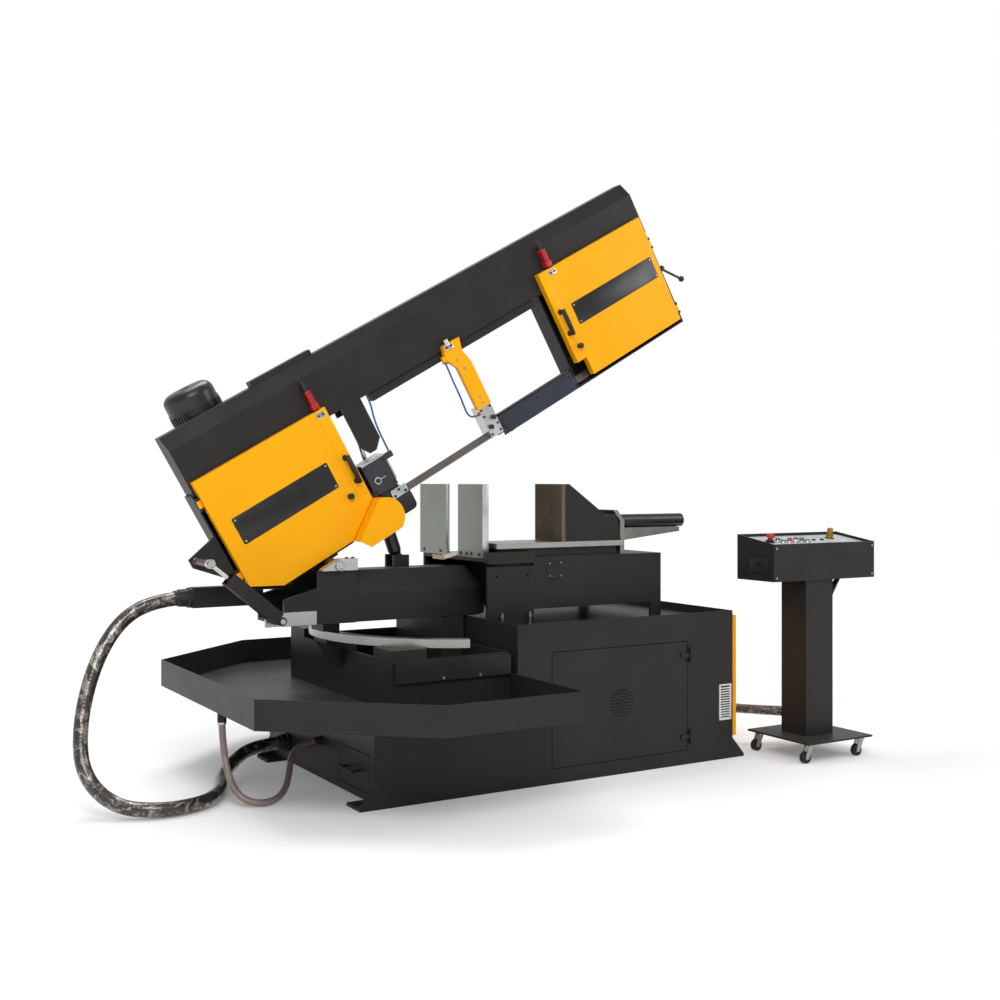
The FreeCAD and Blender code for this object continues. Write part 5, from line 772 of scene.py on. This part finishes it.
# ---- Fixed guide fittings ----------------------------------------------------------------------------------
# The fixed guide's casting has a machined top, a coolant dial with a steel ring and an index line, a lower
# plate on socket screws over a round black shoe, and a brass elbow where the blue tube plugs in.
GUIDE_FACE, STEM_FACE = -46.0, -20.0
DIAL_S, DIAL_T = 350.0, 183.0
DIAL_RING = [(0, 16), (4, 16), (5, 15), (5, 11.5), (2, 11), (2, 0.5)]      # distance out and radius
DIAL_KNOB = [(2, 9), (7, 8.5), (8, 7)]
FIXED_ELBOW = [(0, 6), (10, 6), (11, 7.5), (20, 7.5), (22, 5.2), (30, 5)]
LOWER_PLATE_THICK, LOWER_PLATE_SCREWS = 7.0, ((396, 84), (450, 84), (423, 102))
GUIDE_SCREWS = ((324, 250), (414, 250), (414, 144), (324, 144))

dial_centre = on_bow(DIAL_S, GUIDE_FACE, DIAL_T)
ring = turned(DIAL_RING, dial_centre, BOW_OUT, 40)
index = front_plate(oblong(DIAL_S + 17, DIAL_S + 42, DIAL_T - 1.5, DIAL_T + 1.5), GUIDE_FACE - 0.8,
                    GUIDE_FACE)
top = front_plate(oblong(311, 427, 263, 270, 1.5), GUIDE_FACE - 2, 34, 0.6)
lower = front_plate(oblong(384, 462, 74, 112, 5), STEM_FACE - LOWER_PLATE_THICK, STEM_FACE, 0.8)
side = front_plate(oblong(426, 436, 150, 236, 2), GUIDE_FACE + 8, GUIDE_FACE + 30, 0.8)
assemble("fixed_guide_plates", [ring, index, top, lower, side], machined_aluminium, "bow")
dial_knob = turned(DIAL_KNOB, dial_centre, BOW_OUT, 28)
shoe = front_plate(oblong(388, 470, -4, 80, 22), STEM_FACE - 6, STEM_FACE + 26, 2)
assemble("fixed_guide_knob", [dial_knob, shoe], black_nylon, "bow")
screws("fixed_guide_screws",
       [on_bow(s, STEM_FACE - LOWER_PLATE_THICK, t) for s, t in LOWER_PLATE_SCREWS]
       + [on_bow(s, GUIDE_FACE, t) for s, t in GUIDE_SCREWS],
       BOW_OUT, 5.5, 3.5, black_screw, "bow", "black_plastic")
elbow = turned(FIXED_ELBOW, on_bow(458, -33, 238), BOW_UP, 20)
assemble("fixed_guide_elbow", [elbow], turned_brass, "bow")

# ---- Moving guide fittings ---------------------------------------------------------------------------------
# A chromed clamp locks the yellow arm on its rail. The aluminium head below it holds the carbide pads with
# socket screws and two knurled knobs, and has a brass elbow for its tube.
ARM_FACE, HEAD_FACE = -53.0, -32.0
CLAMP_THICK, CLAMP_BAR = 6.0, [(0, 10), (1, 11.5), (30, 11.5), (31, 10)]
HEAD_KNOB, HEAD_KNOBS = [(0, 9), (3, 10), (12, 10), (14, 8)], ((936, 118), (966, 150))
HEAD_SCREWS = ((926, 200), (974, 200), (926, 170), (926, 86), (974, 86), (974, 118))
ARM_SCREWS = ((940, 232), (940, 262), (932, 400), (918, 446))
MOVING_ELBOW = [(0, 5.2), (14, 5.2), (15, 7.5), (24, 7.5), (25, 6)]

clamp = front_plate(oblong(886, 926, 500, 522, 3), ARM_FACE - CLAMP_THICK, ARM_FACE + CLAMP_THICK, 1)
clamp_bar = turned(CLAMP_BAR, on_bow(906, ARM_FACE + 2, 516), BOW_UP, 24)
assemble("guide_clamp", [clamp, clamp_bar], bow_rod_steel, "guide")
screws("guide_clamp_screws", [on_bow(s, ARM_FACE - CLAMP_THICK - 2, 514) for s in (894, 918)], BOW_OUT, 4.5,
       3, black_screw, "guide", "black_plastic")
knobs = [turned(HEAD_KNOB, on_bow(s, HEAD_FACE, t), BOW_OUT, 18) for s, t in HEAD_KNOBS]
assemble("guide_head_knobs", knobs, black_nylon, "guide")
screws("guide_head_screws", [on_bow(s, HEAD_FACE, t) for s, t in HEAD_SCREWS], BOW_OUT, 5.0, 3.5, black_screw,
       "guide", "black_plastic")
screws("guide_arm_screws", [on_bow(s, ARM_FACE, t) for s, t in ARM_SCREWS], BOW_OUT, 5.5, 3, steel_screw,
       "guide", "zinc_plate")
elbow = turned(MOVING_ELBOW, on_bow(893, -20, 190), BOW_ALONG, 20)
assemble("guide_head_elbow", [elbow], turned_brass, "guide")

# ---- Blade cover rails -------------------------------------------------------------------------------------
# The blade cover slides under a black rail, with a slanting black plate at its nose and two bright wear
# strips laid along its top.
COVER_FROM, COVER_TO, COVER_TOP, COVER_FACE = 985.0, 1416.0, 138.0, -30.0
COVER_SCREWS, COVER_SCREW_T = (1010, 1110, 1210, 1310, 1400), 120

rail = front_plate(oblong(COVER_FROM + 10, COVER_TO, COVER_TOP, COVER_TOP + 10, 2), COVER_FACE + 4, -8, 0.8)
nose = front_plate([(COVER_FROM - 2, 139), (COVER_FROM - 2, 96), (COVER_FROM + 34, 51), (COVER_FROM + 46, 51),
                    (COVER_FROM + 22, 139)], COVER_FACE - 2.5, COVER_FACE, 0.6)
assemble("blade_cover_rail", [rail, nose], black_nylon, "guide")
strips = [front_plate(oblong(COVER_FROM + 30, COVER_TO - 40, COVER_TOP, COVER_TOP + 4), y, y + 4, 0.5)
          for y in (-2, 12)]
assemble("blade_cover_strips", strips, ground_steel, "guide")
screws("blade_cover_screws", [on_bow(s, COVER_FACE, COVER_SCREW_T) for s in COVER_SCREWS], BOW_OUT, 4.5, 2.5,
       black_screw, "guide", "black_plastic")

# ---- Pivot and strut fittings ------------------------------------------------------------------------------
# A bolt and washer end the pivot shaft on each side and cap screws hold its aluminium clamps. The strut turns
# on the end of a brown steel spacer at the bow's ear, held by a cap.
SHAFT_END, CLAMP_MIDDLE, CLAMP_TOP = 167.0, 141.0, 0.893
WASHER, BOLT_HEAD = [(0, 20), (2.5, 20), (3, 19)], [(3, 10), (9, 10), (10, 9)]
STRUT_EYE_S, STRUT_EYE_T, STRUT_PIN_END = -448, 286, -205
SPACER = [(0, 15), (4, 15), (5, 12.5), (148, 12.5)]
PIN_CAP = [(0, 10.3), (1, 14), (6, 14), (8, 12)]

for end, way in (("rear", 1), ("front", -1)):
    tip = (PIVOT.x, way * SHAFT_END / 1000, PIVOT.z)
    washer = turned(WASHER, tip, (0, way, 0), 32)
    head = turned(BOLT_HEAD, tip, (0, way, 0), 6)
    assemble(f"pivot_bolt_{end}", [washer, head], steel_screw, "mitre_arm_body")
for end, way in (("front", -1), ("rear", 1)):
    screws(f"pivot_clamp_screws_{end}", [(x, way * CLAMP_MIDDLE / 1000, CLAMP_TOP) for x in (-0.792, -0.766)],
           (0, 0, 1), 7, 5, black_screw, "mitre_arm_body", "black_plastic")
screws("strut_bracket_screws", [(x, -0.159, 0.669) for x in (-1.040, -0.950)], (0, -1, 0), 7, 4, steel_screw,
       "mitre_arm_body", "zinc_plate")
spacer = turned(SPACER, on_bow(STRUT_EYE_S, BEAM_FACE, STRUT_EYE_T), BOW_OUT, 28)
assemble("strut_spacer", [spacer], oiled_steel, "bow")
cap = turned(PIN_CAP, on_bow(STRUT_EYE_S, STRUT_PIN_END, STRUT_EYE_T), BOW_OUT, 28)
assemble("strut_end_cap", [cap], steel_screw, "bow")

# ---- Jaw and bed fittings ----------------------------------------------------------------------------------
# Dark socket screws hold the zinc-plated jaws, whose outer edges are milled. The bed's front has tapped holes
# for a length stop, a round blanking cover and two levelling studs, and a raw sheet chute lies between the
# jaws.
JAW_FACE_X, JAW_SCREW_Z = -0.234, 0.895
JAW_SCREWS = {"front": (-0.215, -0.150, -0.110, -0.060), "rear": (0.120, 0.270)}
JAW_EDGES = (("front", -233.5, -204.5, -240), ("rear", -233.5, -226.5, 70))      # left, right and y
JAW_EDGE_LOW, JAW_EDGE_HIGH, JAW_EDGE_THICK = 881, 1182, 0.5
BED_FACE = -280.0
BED_SCREWS = ((-198, 792), (-141, 792), (-113, 792), (-88, 792), (-27, 792), (350, 786), (400, 786),
              (640, 785))
COVER_X, COVER_Z, COVER_SCREW_R, COVER_SCREW_TURNS = 96.0, 826.0, 38.5, (0.8, 2.4, 3.9, 5.5)
ROUND_COVER = [(0, 43), (1.5, 43), (2.5, 41.5), (2.5, 36), (1.8, 35), (1.8, 1)]
STUD = [(0, 8), (6, 8), (7, 5), (34, 5), (35, 9), (43, 9), (44, 5), (56, 5)]
STUD_X, STUD_Y, STUD_Z = (-0.170, -0.036), -0.291, 0.602
CHUTE = [(-300, 866), (-296, 869), (-206, 893), (-206, 890)]      # x and z
CHUTE_LIP = [(-300, 866), (-296, 869), (-300, 884), (-303, 884)]
CHUTE_SIDES = (-30, 66)
STRIP_SCREW_X, STRIP_FACE, STRIP_SCREW_Z = (-0.560, -0.400), -0.508, 0.456

for jaw, places in JAW_SCREWS.items():
    screws(f"{jaw}_jaw_screws", [(JAW_FACE_X, y, JAW_SCREW_Z) for y in places], (-1, 0, 0), 7, 2.5,
           black_screw, "base", "black_plastic")
screws("bed_screws", [(x / 1000, BED_FACE / 1000, z / 1000) for x, z in BED_SCREWS], (0, -1, 0), 5.5, 1.6,
       black_screw, "base", "black_plastic", 0.7)
cover = turned(ROUND_COVER, (COVER_X / 1000, BED_FACE / 1000, COVER_Z / 1000), (0, -1, 0), 56)
assemble("bed_round_cover", [cover], anthracite, "base")
screws("bed_cover_screws", [((COVER_X + COVER_SCREW_R * math.cos(a)) / 1000, (BED_FACE - 2.2) / 1000,
                             (COVER_Z + COVER_SCREW_R * math.sin(a)) / 1000) for a in COVER_SCREW_TURNS],
       (0, -1, 0), 2.6, 1.2, steel_screw, "base", "zinc_plate")
for jaw, x0, x1, y in JAW_EDGES:
    edge = upright_plate(oblong(x0, x1, JAW_EDGE_LOW, JAW_EDGE_HIGH), y - JAW_EDGE_THICK, y, 0.2)
    assemble(f"{jaw}_jaw_milled_edge", [edge], milled_edge, "base")
studs = [turned(STUD, (x, STUD_Y, STUD_Z), (0, 0, 1), 6) for x in STUD_X]
assemble("bed_levelling_studs", studs, steel_screw, "base")
screws("mitre_strip_screws", [(x, STRIP_FACE, STRIP_SCREW_Z) for x in STRIP_SCREW_X], (0, -1, 0), 6, 4,
       steel_screw, "base", "zinc_plate")
chute = upright_plate(CHUTE, *CHUTE_SIDES)
lip = upright_plate(CHUTE_LIP, *CHUTE_SIDES)
assemble("chip_chute", [chute, lip], raw_sheet, "base")

# ---- Vent grille -------------------------------------------------------------------------------------------
# A moulded pale grille vents the electric compartment beside its yellow cover: a frame with sloping slats.
GRILLE = (772.0, 838.0, 168.0, 322.0)     # left, right, low and high
GRILLE_FRAME, GRILLE_THICK, GRILLE_SLATS, CABINET_FACE = 7.0, 5.0, 13, -530.0

x0, x1, z0, z1 = GRILLE
rim = GRILLE_FRAME
bars = [oblong(x0, x0 + rim, z0, z1), oblong(x1 - rim, x1, z0, z1), oblong(x0 + rim, x1 - rim, z0, z0 + rim),
        oblong(x0 + rim, x1 - rim, z1 - rim, z1)]
shapes = [upright_plate(bar, CABINET_FACE - GRILLE_THICK, CABINET_FACE, 0.8) for bar in bars]
pitch = (z1 - z0 - 2 * rim) / GRILLE_SLATS
for k in range(GRILLE_SLATS):
    low = z0 + rim + k * pitch
    shapes.append(plate([(0, low + 1), (-4.5, low - 1.5), (-4.5, low + 1), (0, low + 4)], x0 + rim - 1,
                        x1 - rim + 1, lambda y, z, x: Vector((x, CABINET_FACE + y, z)) / 1000))
assemble("vent_grille", shapes, pale_grille_plastic, "base")
backing = upright_plate(oblong(x0 + 4, x1 - 4, z0 + 4, z1 - 4), CABINET_FACE - 1, CABINET_FACE)
assemble("vent_grille_backing", [backing], black_nylon, "base")

# ---- Console panel -----------------------------------------------------------------------------------------
# The desk holds a grey panel with two rows of push buttons in steel bezels, a mushroom stop button and a
# brass selector knob. A black catch sits on its left side, and a brace runs up to it from the column.
DESK_PLACE = (-705.0, -475.0, 912.0, 36.0)      # front, back, panel height at the front, and rise to the back
BUTTON_X, BUTTON_Y, BUTTON_STEP, BUTTONS_IN_ROW = 1060.0, -620.0, 36.0, 5
BUTTON_CODES = [("green", "#1e8a46"), ("red", "#b3161c"), ("white", "#d9d9d6"), ("black", "#1a1a1c"),
                ("green", "#1e8a46"), ("black", "#1a1a1c"), ("white", "#d9d9d6"), ("red", "#b3161c"),
                ("black", "#1a1a1c"), ("green", "#1e8a46")]
BEZEL, CAP = [(0, 15), (5, 15), (7, 13.5), (9.5, 13)], [(8, 10.5), (12.5, 10.5), (14, 9.5), (14.4, 5)]
CONTROLS, CONTROL_BASE = ((1000, -600), (1397, -560)), [(0, 24), (2, 24), (3, 22)]
LAMP_X, LAMP_Y, LAMP_BASE = (1270, 1320), -590, [(0, 9), (6, 9), (7, 8)]
PANEL_ENDS, PANEL_IN, PANEL_DEPTHS = (932, 1520), 6, (0.2, 1.8)
DESK_SIDE = 925
BRACE = [(1285, 694), (1291, 694), (1338, 766), (1327, 766), (1285, 706)]      # x and z
BRACE_SIDES = (-684, -660)

front, back, low, rise = DESK_PLACE
slope = math.atan2(rise, back - front)
DESK_UP = Vector((0, -math.sin(slope), math.cos(slope)))


def on_desk(x, y, up=0.0):
    """A place on the console's sloping panel."""
    return Vector((x, y, low + rise * (y - front) / (back - front))) / 1000 + DESK_UP * up / 1000


def on_desk_side(y, z, x):
    """A place on the desk's left side, in millimetres, as a point in metres."""
    return Vector((x, y, z)) / 1000


panel = plate(oblong(*PANEL_ENDS, front + PANEL_IN, back - PANEL_IN, 6), *PANEL_DEPTHS, on_desk)
assemble("console_panel", [panel], grey_panel, "base")
caps, bezels = {}, []
for k, (name, code) in enumerate(BUTTON_CODES):
    place = on_desk(BUTTON_X + k % BUTTONS_IN_ROW * BUTTON_STEP, BUTTON_Y + k // BUTTONS_IN_ROW * BUTTON_STEP)
    bezels.append(turned(BEZEL, place, DESK_UP, 28))
    caps.setdefault((name, code), []).append(turned(CAP, place, DESK_UP, 24))
assemble("console_button_bezels", bezels, steel_screw, "base")
for (name, code), shapes in caps.items():
    assemble(f"console_buttons_{name}", shapes, moulded(f"{name}_button_acrylic", code, 0.3, 0.05), "base")
bases = [turned(CONTROL_BASE, on_desk(*at), DESK_UP, 36) for at in CONTROLS]
bases += [turned(LAMP_BASE, on_desk(x, LAMP_Y), DESK_UP, 20) for x in LAMP_X]
assemble("console_control_bases", bases, black_nylon, "base")
catch = plate(oblong(-672, -560, 800, 862, 4), DESK_SIDE - 4.5, DESK_SIDE, on_desk_side, 0.0008)
hasp = plate(oblong(-640, -600, 838, 856, 3), DESK_SIDE - 11, DESK_SIDE - 4, on_desk_side, 0.001)
brace = upright_plate(BRACE, *BRACE_SIDES, 0.6)
assemble("console_catch", [catch, hasp], black_nylon, "base")
assemble("console_brace", [brace], anthracite, "base")
screws("console_desk_screws", [(x, -0.705, z) for x in (0.940, 1.512) for z in (0.782, 0.908)], (0, -1, 0),
       4.5, 2.5, steel_screw, "base", "zinc_plate")

# ---- Conduit glands ----------------------------------------------------------------------------------------
# Moulded nylon glands grip each conduit where it goes into steel: at the channel on the arm, at the cabinet's
# end, at the electric cover and at the console's column. The drain hose has a steel clip on its spigot.
GLAND = [(0, 1.45), (10, 1.45), (12, 1.3), (34, 1.24), (36, 1.12), (46, 1.06)]  # distance, share of radius
GLANDS = [
    ("arm", MAIN_ROUTE[0], (-1, 0, 0), MAIN_RADIUS, "mitre_arm_body", 1.5),
    ("cabinet", MAIN_ROUTE[-1], (-1, 0, 0), MAIN_RADIUS, "base", 1.0),
    ("electric", CONSOLE_ROUTE[0], (1, 0, 0), CONSOLE_RADIUS, "base", 1.0),
    ("console", CONSOLE_ROUTE[-1], (0, 1, 0), CONSOLE_RADIUS, "base", 1.0),
    ("drain", DRAIN_ROUTE[-1], (-1, 0, 0), DRAIN_RADIUS, "base", 0.7),
]                                       # name, place, way out, hose's radius, body and share of the full length
CLIP = [(0, 16), (0.5, 16.6), (8.5, 16.6), (9, 16)]

for name, place, way, radius, body, long in GLANDS:
    shape = turned([(along * long, share * radius * 1000) for along, share in GLAND], place, way, 32)
    assemble(f"gland_{name}", [shape], black_nylon, body)
clip = turned(CLIP, DRAIN_ROUTE[0], (0, 0, -1), 32)
assemble("drain_hose_clip", [clip], steel_screw, "base")
